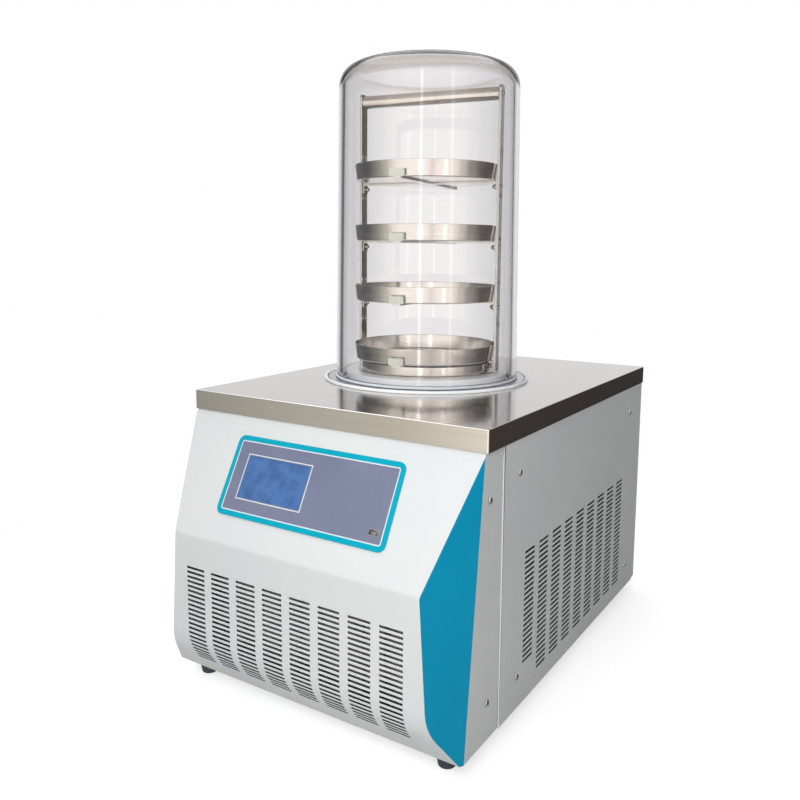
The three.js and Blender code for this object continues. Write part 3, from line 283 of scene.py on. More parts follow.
def turned(name, outline, centre, axis="Z", steps=96, crease=35):
    """An outline of (radius, height) points, drawn point by point and spun about the axis."""
    where = {
        "Z": lambda r, h: Vector((centre[0] + r, centre[1], h)),
        "Y": lambda r, h: Vector((centre[0] + r, h, centre[2])),
        "X": lambda r, h: Vector((h, centre[1] + r, centre[2])),
    }[axis]
    points = [where(r, h) for r, h in outline]
    bpy.ops.object.select_all(action="DESELECT")
    bpy.ops.mesh.primitive_plane_add(size=0.01, location=(0, 0, 0))
    piece = bpy.context.object
    piece.name = name
    bpy.ops.object.mode_set(mode="EDIT")
    bpy.ops.mesh.select_mode(type="VERT")
    bpy.ops.mesh.select_all(action="SELECT")
    bpy.ops.mesh.merge(type="CENTER")
    bpy.ops.transform.translate(value=points[0])
    for before, after in zip(points, points[1:]):
        bpy.ops.mesh.extrude_region_move(TRANSFORM_OT_translate={"value": after - before})
    bpy.ops.mesh.select_all(action="SELECT")
    direction = {"X": (1, 0, 0), "Y": (0, 1, 0), "Z": (0, 0, 1)}[axis]
    bpy.ops.mesh.spin(steps=steps, angle=2 * math.pi, center=centre, axis=direction)
    bpy.ops.mesh.select_all(action="SELECT")
    bpy.ops.mesh.remove_doubles(threshold=2e-6)
    bpy.ops.mesh.normals_make_consistent(inside=False)
    bpy.ops.object.mode_set(mode="OBJECT")
    bpy.ops.object.shade_smooth_by_angle(angle=math.radians(crease))
    return piece


def active(piece):
    """The piece alone is selected."""
    bpy.ops.object.select_all(action="DESELECT")
    piece.select_set(True)
    bpy.context.view_layer.objects.active = piece


def stand_for(piece, material, slot, body, *nodes):
    """The finished piece takes its material, its body and the nodes it stands for; the slot is not
    used.
    """
    piece.data.materials.clear()
    piece.data.materials.append(material)
    active(piece)
    level = piece.modifiers.new("level", "WEIGHTED_NORMAL")
    level.keep_sharp = True
    bpy.ops.object.modifier_apply(modifier=level.name)
    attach(piece, body)
    if nodes:
        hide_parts(*nodes)


def middle(name):
    """The centre of a node's box."""
    low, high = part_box(name)
    return (Vector(low) + Vector(high)) / 2


rubber = finish("foot_rubber", linear(62, 72, 82), 0, 0.72)
vary(rubber, 60, linear(54, 63, 73), linear(72, 82, 92))
grain(rubber, 900, 0.00004)
for name in ("foot_front_left", "foot_front_right", "foot_rear_left", "foot_rear_right"):
    tip, base, top = 10 * MM, 14 * MM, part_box(name)[1][2]
    outline = [(0, 1.2 * MM), (4 * MM, 1.2 * MM), (5 * MM, 0)]
    outline += arc(tip - 1.6 * MM, 1.6 * MM, 1.6 * MM, -90, 0, 5)
    outline += [(tip + 2.4 * MM, top - 5 * MM), (tip + 2.8 * MM, top - 3.4 * MM)]
    outline += arc(base - 0.8 * MM, top - 2.6 * MM, 0.8 * MM, -90, 0, 3)
    outline += [(base, top - 0.6 * MM), (base - 0.6 * MM, top), (0, top)]
    foot = turned(name + "_rubber", outline, middle(name), steps=48)
    stand_for(foot, rubber, "dark_rubber", "dryer", name)

# Front cover: one sheet folded over the knee and under the grille, with its two
# front corners pressed into oblique facets. Welded, ground and powder coated.
paint = finish("powder_coat", linear(226, 229, 229), 0, 0.42)
vary(paint, 5, linear(224, 228, 229), linear(230, 232, 230))
roughen(paint, 40, 0.36, 0.5)
grain(paint, 1400, 0.00003)


def copy_of(node, name):
    """A copy of a frame node's mesh, its loose triangles merged into one shell."""
    piece = bpy.data.objects.new(name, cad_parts[node].data.copy())
    bpy.context.collection.objects.link(piece)
    active(piece)
    bpy.ops.object.mode_set(mode="EDIT")
    bpy.ops.mesh.select_all(action="SELECT")
    bpy.ops.mesh.remove_doubles(threshold=0.01 * MM)
    bpy.ops.mesh.customdata_custom_splitnormals_clear()
    bpy.ops.object.mode_set(mode="OBJECT")
    return piece


def apply_modifiers(piece):
    """Makes the piece's modifiers part of its mesh."""
    active(piece)
    for modifier in list(piece.modifiers):
        bpy.ops.object.modifier_apply(modifier=modifier.name)


def round_edges(piece, width, segments=2, angle=60):
    """Rounds every edge sharper than the angle."""
    bevel = piece.modifiers.new("edges", "BEVEL")
    bevel.width = width
    bevel.segments = segments
    bevel.limit_method = "ANGLE"
    bevel.angle_limit = math.radians(angle)
    apply_modifiers(piece)
    bpy.ops.object.shade_smooth_by_angle(angle=math.radians(30))


# Painted shade: a dark grey put on the inner faces and slot walls of the sheets, where the inside
# of the cabinet lies in shade.
primer = finish("grey_primer", linear(40, 42, 44), 0, 0.7)
vary(primer, 50, linear(34, 36, 38), linear(46, 48, 50))


def prime(piece, in_shade):
    """The inside of a sheet and the walls of its slots are painted dark grey, as painted shade."""
    piece.data.materials.append(primer)
    for face in piece.data.polygons:
        if in_shade(face.center, face.normal):
            face.material_index = 1


cover = copy_of("front_cover", "front_cover_shell")
bpy.ops.object.shade_smooth_by_angle(angle=math.radians(24))

# Side panels: flat sheets with their upright edges folded in. They are pressed
# for their screws first, and their folds are rounded after that.
sides = ((-1, "left"), (1, "right"))
panels = {side: copy_of("side_panel_" + word, "side_sheet_" + word) for side, word in sides}

# Back panel: a flat sheet with three short columns of slots and its edges folded
# forward to meet the side panels. It is screwed to the corner posts.
back_panel = copy_of("back_panel", "back_sheet")
back_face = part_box("back_panel")[1][1]
panel_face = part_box("side_panel_right")[1][0]
skin, cut_edge = 0.4 * MM, 0.3 * MM
round_edges(back_panel, cut_edge)
stand_for(back_panel, paint, "white_paint", "dryer", "back_panel")
# The back panel's inner face and slot walls are painted dark grey as painted shade.
prime(back_panel, lambda spot, out: (
    spot.y < back_face - skin and abs(spot.x) < panel_face - skin))

# Corner films: each oblique facet carries a teal vinyl film, cut a little short
# of the folds so that a line of white paint shows all round it.
teal = finish("teal_film", linear(0, 149, 187), 0, 0.36)
teal.node_tree.nodes["Principled BSDF"].inputs["Specular IOR Level"].default_value = 0.12
vary(teal, 12, linear(0, 146, 184), linear(1, 152, 191))
roughen(teal, 60, 0.32, 0.42)
film_margin, film_thickness = 1.3 * MM, 0.25 * MM


def pick(piece, kind, wanted):
    """Selects only the wanted edges or faces of a piece that is open for editing."""
    bpy.ops.mesh.select_all(action="DESELECT")
    shell = bmesh.from_edit_mesh(piece.data)
    for part in shell.faces if kind == "faces" else shell.edges:
        part.select_set(wanted(part))
    bmesh.update_edit_mesh(piece.data)


def thicken(piece, thickness, offset, even=False):
    """Gives a sheet its thickness, on the outside at offset 1 and inside at -1."""
    layer = piece.modifiers.new("layer", "SOLIDIFY")
    layer.thickness = thickness
    layer.offset = offset
    layer.use_even_offset = even
    apply_modifiers(piece)


for side, word in sides:
    film = copy_of("front_cover", "corner_film_" + word)
    bpy.ops.object.mode_set(mode="EDIT")
    pick(film, "faces", lambda face: not (face.normal.x * side > 0.7 and face.normal.y < -0.4))
    bpy.ops.mesh.delete(type="FACE")
    bpy.ops.mesh.select_all(action="SELECT")
    bpy.ops.mesh.dissolve_limited(angle_limit=math.radians(1))
    bpy.ops.mesh.select_all(action="SELECT")
    bpy.ops.mesh.inset(thickness=film_margin, use_boundary=True)
    bpy.ops.mesh.select_all(action="INVERT")
    bpy.ops.mesh.delete(type="FACE")
    bpy.ops.object.mode_set(mode="OBJECT")
    thicken(film, film_thickness, 1)
    stand_for(film, teal, "white_paint", "dryer")

# Cover and panel screws: domed steel heads with a cross recess, one at each
# corner of the side panels and two down each side of the front cover. Each sits
# in a shallow dimple pressed into the sheet.
plated = finish("screw_steel", linear(196, 194, 190), 1, 0.25)
vary(plated, 300, linear(176, 174, 170), linear(208, 206, 202))
roughen(plated, 500, 0.2, 0.34)


def drilled(piece, cutter):
    """Cuts the cutter out of the piece and throws it away."""
    cut = piece.modifiers.new("cut", "BOOLEAN")
    cut.operation = "DIFFERENCE"
    cut.solver = "EXACT"
    cut.object = cutter
    active(piece)
    bpy.ops.object.modifier_apply(modifier=cut.name)
    bpy.data.objects.remove(cutter)


def block(name, low, high):
    """A box between two corners, ready to be shaped."""
    bpy.ops.object.select_all(action="DESELECT")
    bpy.ops.mesh.primitive_cube_add(size=1, location=(0, 0, 0))
    piece = bpy.context.object
    piece.name = name
    bpy.ops.object.mode_set(mode="EDIT")
    bpy.ops.mesh.select_all(action="SELECT")
    bpy.ops.transform.resize(value=[b - a for a, b in zip(low, high)])
    bpy.ops.transform.translate(value=[(a + b) / 2 for a, b in zip(low, high)])
    bpy.ops.object.mode_set(mode="OBJECT")
    return piece


def placed(source, name, matrix):
    """A copy with its own mesh, put in place with its object left at the origin."""
    piece = bpy.data.objects.new(name, source.data.copy())
    bpy.context.collection.objects.link(piece)
    piece.data.transform(matrix)
    return piece


def facing(direction, spot):
    """The matrix that turns +Z to the direction and moves the origin to the spot."""
    turn = Vector(direction).to_track_quat("Z", "Y").to_matrix().to_4x4()
    return Matrix.Translation(spot) @ turn


def screw_head(name, radius, rise):
    """A domed head on z = 0 with a cross recess."""
    under, rim_height = -0.4 * MM, 0.5 * MM
    outline = [(radius, under), (radius, rim_height)]
    outline += [(radius * math.cos(a), rim_height + rise * math.sin(a))
                for a in (math.radians(15 * step) for step in range(1, 6))]
    outline += [(0, rim_height + rise), (0, under), (radius, under)]
    head = turned(name, outline, (0, 0, 0), steps=28, crease=50)
    arm, width, floor_z = radius * 0.55, radius * 0.13, rise * 0.1
    drilled(head, block("slot", (-arm, -width, floor_z), (arm, width, 3 * rise)))
    drilled(head, block("slot", (-width, -arm, floor_z), (width, arm, 3 * rise)))
    active(head)
    bpy.ops.object.shade_smooth_by_angle(angle=math.radians(30))
    return head


panel_screw = screw_head("panel_screw", 4.2 * MM, 1.7 * MM)
screw_sink, dimple_depth, dimple_floor, dimple_rim = 0.6 * MM, 0.85 * MM, 5 * MM, 6.5 * MM
dimple_outline = [(0, -dimple_depth), (dimple_floor, -dimple_depth), (dimple_rim, 0.01 * MM),
                  (6.8 * MM, 2 * MM), (0, 2 * MM), (0, -dimple_depth)]
strip_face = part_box("front_cover")[1][0]
screw_spots = [(panel_face, -172.6, 306), (panel_face, 237, 306), (panel_face, 243, 58),
               (panel_face, -168.3, 59.5), (strip_face, -244.7, 292.4), (strip_face, -243, 63.5)]
for side, word in sides:
    for number, (x, y, z) in enumerate(screw_spots, 1):
        spot = facing((side, 0, 0), (side * x, y * MM, z * MM))
        press = turned("press", dimple_outline, (0, 0, 0), steps=24)
        press.data.transform(spot)
        drilled(cover if x == strip_face else panels[side], press)
        screw = placed(panel_screw, "screw_%s_%d" % (word, number),
                       spot @ Matrix.Translation((0, 0, -screw_sink)))
        stand_for(screw, plated, "polished_steel", "dryer")

# Side panels and cover, finished: the front fold is rounded and shows as a bright line beside the
# cover, cut edges are broken, and the inside and the slot walls are painted dark grey as painted
# shade.
fold_radius, fold_depth = 1.8 * MM, 4 * MM
for side, word in sides:
    panel = panels[side]
    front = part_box("side_panel_" + word)[0][1]
    active(panel)
    bpy.ops.object.mode_set(mode="EDIT")
    bpy.ops.mesh.select_mode(type="EDGE")
    pick(panel, "edges", lambda edge: all(
        abs(v.co.x - side * panel_face) < 0.1 * MM and v.co.y < front + 0.1 * MM
        for v in edge.verts))
    bpy.ops.mesh.bevel(offset=fold_radius, segments=4)
    bpy.ops.object.mode_set(mode="OBJECT")
    round_edges(panel, cut_edge)
    bpy.ops.object.shade_smooth_by_angle(angle=math.radians(24))
    stand_for(panel, paint, "white_paint", "dryer", "side_panel_" + word)
    # The panel's inner face and slot walls, behind the front fold, are painted dark grey as painted
    # shade.
    prime(panel, lambda spot, out: (
        abs(spot.x) < panel_face - skin and out.x * side < 0.5 and spot.y > front + fold_depth))
active(cover)
bpy.ops.object.shade_smooth_by_angle(angle=math.radians(24))
stand_for(cover, paint, "white_paint", "dryer", "front_cover")
grille_half, grille_low, grille_high = 170 * MM, 24 * MM, 180 * MM
# The cover's inside and the walls of the grille slots, the lower curved rows included, are painted
# dark grey as painted shade.
prime(cover, lambda spot, out: (out.y > 0.3 and out.x * spot.x < 0.1) or (
    abs(spot.x) < grille_half and grille_low < spot.z < grille_high
    and (out.y > -0.3 or out.z > 0.25)))

# Back screws: the same heads, flat on the back panel, at its corners and below.
back_spots = ((-190, 50), (190, 50), (-190, 320), (190, 320), (0, 50))
for number, (x, z) in enumerate(back_spots, 1):
    screw = placed(panel_screw, "screw_back_%d" % number,
                   facing((0, 1, 0), (x * MM, back_face, z * MM)))
    stand_for(screw, plated, "polished_steel", "dryer")
bpy.data.objects.remove(panel_screw)

# Control panel: a printed film stuck on the slope, with a cyan border, a fine
# white line inside it and a grey-violet field, cut out for the screen and port.
film_face = max((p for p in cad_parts["control_overlay"].data.polygons if p.normal.y < -0.5),
                key=lambda p: p.area)
slope_out = film_face.normal.copy()
slope_right = Vector((1, 0, 0))
slope_up = slope_out.cross(slope_right)


def slope_place(*names):
    """The middle of the front, the width and the height of nodes that lie on the slope."""
    points = [v.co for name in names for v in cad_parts[name].data.vertices]
    spans = [(min(p.dot(d) for p in points), max(p.dot(d) for p in points))
             for d in (slope_right, slope_up, slope_out)]
    (x0, x1), (u0, u1), (_, front) = spans
    centre = slope_right * ((x0 + x1) / 2) + slope_up * ((u0 + u1) / 2) + slope_out * front
    return centre, x1 - x0, u1 - u0


def on_slope(piece, centre):
    """Lays a piece drawn flat, face up, on the slope, with its origin at the centre."""
    turn = Matrix((slope_right, slope_up, slope_out)).transposed().to_4x4()
    piece.data.transform(Matrix.Translation(centre) @ turn)


cyan = finish("cyan_print", linear(0, 170, 194), 0, 0.32)
white_print = finish("white_print", linear(232, 238, 242), 0, 0.32)
field = finish("grey_print", linear(126, 131, 156), 0, 0.35)
for printed, dark, light in ((cyan, linear(0, 167, 191), linear(2, 174, 197)),
                             (white_print, linear(228, 234, 238), linear(236, 241, 245)),
                             (field, linear(121, 126, 151), linear(131, 136, 160))):
    printed.node_tree.nodes["Principled BSDF"].inputs["Specular IOR Level"].default_value = 0.2
    vary(printed, 14, dark, light)
    roughen(printed, 200, 0.28, 0.4)
    grain(printed, 1100, 0.00001)
centre, width, height = slope_place("control_overlay")
bpy.ops.object.select_all(action="DESELECT")
bpy.ops.mesh.primitive_plane_add(size=1, location=(0, 0, 0))
overlay = bpy.context.object
overlay.name = "control_film"
for printed in (cyan, white_print, field):
    overlay.data.materials.append(printed)
corner_radius, border, fine_line, film_sheet = 9 * MM, 6.3 * MM, 1.3 * MM, 0.8 * MM
bpy.ops.object.mode_set(mode="EDIT")
bpy.ops.mesh.select_all(action="SELECT")
bpy.ops.transform.resize(value=(width, height, 1))
bpy.ops.mesh.bevel(offset=corner_radius, segments=7, affect="VERTICES")
for number, margin in ((1, border), (2, fine_line)):
    bpy.ops.mesh.inset(thickness=margin)
    overlay.active_material_index = number
    bpy.ops.object.material_slot_assign()
bpy.ops.object.mode_set(mode="OBJECT")
thicken(overlay, film_sheet, -1)
on_slope(overlay, centre)
gap, cutter_depth = 0.25 * MM, 4 * MM
for name in ("touch_screen", "usb_port"):
    hole_centre, hole_width, hole_height = slope_place(name)
    cutter = block("window", (-hole_width / 2 - gap, -hole_height / 2 - gap, -cutter_depth),
                   (hole_width / 2 + gap, hole_height / 2 + gap, cutter_depth))
    on_slope(cutter, hole_centre)
    drilled(overlay, cutter)
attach(overlay, "dryer")
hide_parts("control_overlay")

# Touch screen: a glass front over a blue backlit display, set in a thin white
# frame and a hair below it. The unlit menu shows only as faint darker patches.
lcd = finish("blue_display", linear(62, 106, 165), 0, 0.12)
tree, shader, spot = surface(lcd)
patches = put(tree, "TexNoise", Vector=spot, Scale=75, Detail=3)
shades = ramp_over(tree, patches.outputs["Fac"],
                   (0.35, linear(54, 98, 156)), (0.6, linear(68, 114, 174)))
tree.links.new(shades, shader.inputs["Base Color"])
tree.links.new(shades, shader.inputs["Emission Color"])
shader.inputs["Emission Strength"].default_value = 0.06
shader.inputs["Coat Weight"].default_value = 0.5
shader.inputs["Coat Roughness"].default_value = 0.05
centre, width, height = slope_place("touch_screen")
screen_depth = 4.6 * MM
screen = block("display_screen", (-width / 2, -height / 2, -screen_depth),
               (width / 2, height / 2, 0))
for printed in (white_print, field, lcd):
    screen.data.materials.append(printed)
bpy.ops.object.mode_set(mode="EDIT")
pick(screen, "faces", lambda face: face.normal.z > 0.9)
for number, margin, drop in ((1, 1.2 * MM, 0), (2, 1.1 * MM, -0.4 * MM)):
    bpy.ops.mesh.inset(thickness=margin)
    screen.active_material_index = number
    bpy.ops.object.material_slot_assign()
    if drop:
        bpy.ops.mesh.extrude_region_move(TRANSFORM_OT_translate={"value": (0, 0, drop)})
bpy.ops.object.mode_set(mode="OBJECT")
on_slope(screen, centre)
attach(screen, "dryer")
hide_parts("touch_screen")

# Top plate: a stainless sheet brushed along its width and folded down all round,
# with a hole for the cold trap. Its folds and closed corners are a little rounded.
steel = finish("polished_sheet", linear(203, 200, 196), 1, 0.14)
vary(steel, 4, linear(201, 198, 194), linear(205, 202, 198), stretch=(1, 60, 60))
roughen(steel, 5, 0.1, 0.15, stretch=(1, 40, 40))
grain(steel, 9, 0.0000004, stretch=(1, 90, 90))
plate_low, plate_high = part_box("top_plate")
sheet, corner_radius = 1.2 * MM, 1.6 * MM
plate = block("top_sheet", plate_low, plate_high)
bpy.ops.object.mode_set(mode="EDIT")
bpy.ops.mesh.select_mode(type="EDGE")
pick(plate, "edges", lambda edge: any(v.co.z > plate_high[2] - MM for v in edge.verts))
bpy.ops.mesh.bevel(offset=corner_radius, segments=4)
bpy.ops.mesh.select_mode(type="FACE")
pick(plate, "faces", lambda face: face.normal.z < -0.9)
bpy.ops.mesh.delete(type="FACE")
bpy.ops.object.mode_set(mode="OBJECT")
thicken(plate, sheet, -1, even=True)
trap_centre = middle("cold_trap")
trap_radius = 107.5 * MM
bpy.ops.object.select_all(action="DESELECT")
bpy.ops.mesh.primitive_cylinder_add(vertices=64, radius=trap_radius, depth=20 * MM,
                                    location=(trap_centre.x, trap_centre.y, plate_high[2]))
drilled(plate, bpy.context.object)
active(plate)
bpy.ops.object.shade_smooth_by_angle(angle=math.radians(30))
stand_for(plate, steel, "polished_steel", "dryer", "top_plate")

# Cold trap and its foam jacket: a deep-drawn stainless cup hung under the plate,
# with black elastomer foam wrapped round it. Seen only down the guide's bore.


def brushed(name, shade, rough_low, rough_high, stretch):
    """Stainless steel with a fine brushed grain along one direction."""
    material = finish(name, shade, 1, 0.3)
    dark = tuple(0.86 * c for c in shade[:3]) + (1,)
    light = tuple(min(1.08 * c, 1) for c in shade[:3]) + (1,)
    vary(material, 6, dark, light, stretch=stretch)
    roughen(material, 8, rough_low, rough_high, stretch=stretch)
    grain(material, 11, 0.000006, stretch=stretch)
    return material


cup_steel = brushed("cup_steel", linear(198, 196, 192), 0.24, 0.36, (1, 1, 90))
dress(cup_steel, "cold_trap", "vacuum_pipe")
foam = finish("black_foam", linear(44, 46, 49), 0, 0.9)
vary(foam, 90, linear(36, 38, 41), linear(56, 58, 62))
grain(foam, 500, 0.0004)
dress(foam, "trap_insulation")

# Trap flange, white rim ring and jar seal: a turned steel ring let onto the
# plate, a moulded ring pressed round it, and a flat silicone gasket for the jar.


def ring_sizes(name):
    """Axis, largest radius, bottom and top of a round node that stands on the Z axis."""
    low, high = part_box(name)
    axis = middle(name)
    return (axis.x, axis.y, 0), (high[0] - low[0]) / 2, low[2], high[2]


# The flange steel is darker and bluer than the other steels: painted shade for the dark band
# between the rim ring and the jar.
shaded_flange_steel = brushed("shaded_flange_steel", linear(158, 161, 170), 0.12, 0.2, (60, 60, 1))
axis, outer, bottom, top = ring_sizes("trap_flange")
edge = 0.6 * MM
outline = [(trap_radius, bottom), (outer, bottom)]
outline += arc(outer - edge, top - edge, edge, 0, 90, 4)
outline += arc(trap_radius + edge, top - edge, edge, 90, 180, 4)
outline += [(trap_radius, bottom)]
flange = turned("trap_flange_ring", outline, axis, steps=128)
stand_for(flange, shaded_flange_steel, "polished_steel", "dryer", "trap_flange")

ring_white = finish("ring_plastic", linear(248, 250, 252), 0, 0.3)
vary(ring_white, 20, linear(245, 248, 250), linear(251, 252, 253))
roughen(ring_white, 90, 0.24, 0.36)
axis, outer, bottom, top = ring_sizes("rim_ring")
ring_width, round_top = 4.2 * MM, 2 * MM
inner = outer - ring_width
outline = [(inner, bottom), (outer, bottom)]
outline += arc(outer - round_top, top - round_top, round_top, 0, 90, 5)
outline += arc(inner + round_top, top - round_top, round_top, 90, 180, 5)
outline += [(inner, bottom)]
rim = turned("rim_ring_moulding", outline, axis, steps=128)
stand_for(rim, ring_white, "white_plastic", "dryer", "rim_ring")

silicone = finish("silicone_gasket", linear(234, 238, 242), 0, 0.5)
silicone.node_tree.nodes["Principled BSDF"].inputs["Subsurface Weight"].default_value = 0.1
vary(silicone, 60, linear(229, 234, 239), linear(240, 243, 246))
grain(silicone, 600, 0.00002)
axis, outer, bottom, top = ring_sizes("jar_seal")
gasket_width, edge = 10.8 * MM, 0.9 * MM
inner = outer - gasket_width
outline = arc(outer - edge, bottom + edge, edge, -90, 0, 3)
outline += arc(outer - edge, top - edge, edge, 0, 90, 3)
outline += arc(inner + edge, top - edge, edge, 90, 180, 3)
outline += arc(inner + edge, bottom + edge, edge, 180, 270, 3)
outline += [outline[0]]
gasket = turned("jar_gasket", outline, axis, steps=128)
stand_for(gasket, silicone, "seal_rubber", "dryer", "jar_seal")

# Bell jar: clear acrylic, a thick wall that leans in a little towards its round
# shoulder and heavier lid. Faintly grey where one looks along the wall.
acrylic = finish("clear_acrylic", (0.99, 0.985, 0.985, 1), 0, 0.0)
tree, shader, spot = surface(acrylic)
shader.inputs["IOR"].default_value = 1.49
shader.inputs["Transmission Weight"].default_value = 1
ripple = put(tree, "TexNoise", Vector=spot, Scale=6, Detail=1)
wave = put(tree, "Bump", Height=ripple.outputs["Fac"], Distance=0.00003, Strength=1)
tree.links.new(wave.outputs["Normal"], shader.inputs["Normal"])
path = put(tree, "LightPath")
open_way = put(tree, "BsdfTransparent", Color=(0.99, 0.993, 0.996, 1))
through = put(tree, "MixShader", in0=path.outputs["Is Shadow Ray"],
              in1=shader.outputs["BSDF"], in2=open_way.outputs[0])
tree.links.new(through.outputs[0], tree.nodes["Material Output"].inputs["Surface"])
tint = put(tree, "VolumeAbsorption", Color=(0.76, 0.75, 0.8, 1), Density=20.0)
tree.links.new(tint.outputs[0], tree.nodes["Material Output"].inputs["Volume"])
axis, outer, bottom, top = ring_sizes("bell_jar")
wall, crown, shoulder, taper = 8 * MM, 10 * MM, 28 * MM, 4.7 * MM
neck = outer - taper * (1 - shoulder / (top - bottom))
inner, inner_top, inner_shoulder = outer - wall, top - crown, 20 * MM
edge = 0.8 * MM
jar_outside = arc(outer - edge, bottom + edge, edge, -90, 0, 4)
jar_outside += arc(neck - shoulder, top - shoulder, shoulder, 0, 90, 16)
jar_outside += [(0, top)]
jar_inside = [(0, inner_top)]
jar_inside += arc(neck - wall - inner_shoulder, inner_top - inner_shoulder, inner_shoulder,
                  90, 0, 12)
jar_inside += arc(inner + edge, bottom + edge, edge, 180, 270, 4) + [jar_outside[0]]
jar = turned("jar_shell", jar_outside + jar_inside, axis, steps=160, crease=40)
stand_for(jar, acrylic, "clear_acrylic", "dryer", "bell_jar")

# Guide disc and guide cylinder: a glossy white ring on the flange, with a wide
# thin steel sleeve dropped through it, which leads the vapour into the trap.
disc_white = finish("disc_plastic", linear(246, 249, 252), 0, 0.2)
vary(disc_white, 9, linear(243, 247, 250), linear(249, 251, 253))
roughen(disc_white, 30, 0.14, 0.26)
sleeve, sleeve_sheet, play = 94 * MM, 1.2 * MM, 0.3 * MM
axis, outer, bottom, top = ring_sizes("guide_disc")
inner = sleeve + play
edge = 1.5 * MM
outline = [(inner, bottom)] + arc(outer - edge, bottom + edge, edge, -90, 0, 4)
outline += arc(outer - edge, top - edge, edge, 0, 90, 4) + [(inner, top), (inner, bottom)]
disc = turned("guide_disc_plate", outline, axis, steps=128)
stand_for(disc, disc_white, "white_plastic", "dryer", "guide_disc")

drawn_steel = finish("drawn_steel", linear(207, 205, 202), 1, 0.14)
vary(drawn_steel, 3, linear(203, 201, 198), linear(211, 209, 206), stretch=(1, 1, 120))
roughen(drawn_steel, 4, 0.1, 0.18, stretch=(1, 1, 60))
grain(drawn_steel, 6, 0.0000006, stretch=(1, 1, 200))
axis, outer, bottom, top = ring_sizes("guide_cylinder")
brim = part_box("guide_disc")[1][2] + play
outline = [(sleeve - sleeve_sheet, bottom), (sleeve, bottom), (sleeve, brim), (outer, brim)]
outline += arc(outer - 0.6 * MM, brim + 0.6 * MM, 0.6 * MM, 0, 90, 3)
outline += [(sleeve + 1 * MM, brim + sleeve_sheet), (sleeve, brim + sleeve_sheet + 1 * MM)]
outline += arc(sleeve - 0.5 * MM, top - 0.5 * MM, 0.5 * MM, 0, 90, 3)
outline += [(sleeve - sleeve_sheet, top), (sleeve - sleeve_sheet, bottom)]
guide = turned("guide_sleeve", outline, axis, steps=128)
stand_for(guide, drawn_steel, "brushed_steel", "dryer", "guide_cylinder")

# Rack: two flat stainless uprights with pairs of fixing holes, joined at the top
# by a round tube that serves as the handle. It stands a little turned in the jar.
bar_steel = brushed("bar_steel", linear(198, 198, 195), 0.14, 0.22, (30, 30, 1))
rack_span = middle("rack_upright_right") - middle("rack_upright_left")
rack_middle = (middle("rack_upright_right") + middle("rack_upright_left")) / 2
rack_frame = (Matrix.Translation((rack_middle.x, rack_middle.y, 0))
              @ Matrix.Rotation(math.atan2(rack_span.y, rack_span.x), 4, "Z"))
rack_half, bar_half = rack_span.length / 2, 1.75 * MM
rack_low, rack_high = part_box("rack_upright_left")[0][2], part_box("rack_upright_left")[1][2]
bar_reach, bar_corner, bar_edge = 9 * MM, 5 * MM, 0.45 * MM
hole_radius, sunk_radius, hole_first, hole_pitch = 2.2 * MM, 3.2 * MM, 9 * MM, 58.5 * MM
half_drill = [(hole_radius, bar_half - 0.8 * MM), (sunk_radius, bar_half + 0.2 * MM),
              (sunk_radius, 4 * MM), (0, 4 * MM)]
drill_outline = [(r, -h) for r, h in reversed(half_drill)] + half_drill + [(0, -4 * MM)]
for side, word in sides:
    name = "rack_upright_" + word
    bar = block(name + "_bar", (-bar_half, -bar_reach, rack_low), (bar_half, bar_reach, rack_high))
    bpy.ops.object.mode_set(mode="EDIT")
    bpy.ops.mesh.select_mode(type="EDGE")
    pick(bar, "edges", lambda edge: edge.verts[0].co.z > rack_high - MM and abs(
        edge.verts[0].co.x - edge.verts[1].co.x) > MM)
    bpy.ops.mesh.bevel(offset=bar_corner, segments=8)
    bpy.ops.object.mode_set(mode="OBJECT")
    round_edges(bar, bar_edge)
    for row in range(6):
        for y in (-5 * MM, 5 * MM):
            hole_at = (0, y, rack_low + hole_first + hole_pitch * row)
            drilled(bar, turned("drill", drill_outline, hole_at, axis="X", steps=20))
    bar.data.transform(rack_frame @ Matrix.Translation((side * rack_half, 0, 0)))
    stand_for(bar, bar_steel, "brushed_steel", "dryer", name)

tube_steel = finish("tube_steel", linear(206, 204, 200), 1, 0.08)
vary(tube_steel, 30, linear(202, 200, 196), linear(210, 208, 204))
roughen(tube_steel, 60, 0.05, 0.1)
centre = middle("rack_handle")
radius, tube_wall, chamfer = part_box("rack_handle")[1][2] - centre.z, 1.5 * MM, 0.3 * MM
tube_half = rack_half - bar_half - play
outline = [(radius - tube_wall, -tube_half), (radius - chamfer, -tube_half),
           (radius, chamfer - tube_half), (radius, tube_half - chamfer),
           (radius - chamfer, tube_half), (radius - tube_wall, tube_half),
           (radius - tube_wall, -tube_half)]
handle = turned("handle_tube", outline, (0, 0, centre.z), axis="X", steps=64)
handle.data.transform(rack_frame)
stand_for(handle, tube_steel, "polished_steel", "dryer", "rack_handle")

# Shelf crosses: two flat steel bars halved together, with ears bolted to the
# uprights and tongues turned up to hold the tray at front and back.
levels = (1, 2, 3, 4)
for level in levels:
    name = "shelf_cross_%d" % level
    cross = copy_of(name, name + "_bars")
    round_edges(cross, 0.3 * MM, angle=50)
    stand_for(cross, bar_steel, "brushed_steel", "dryer", name)

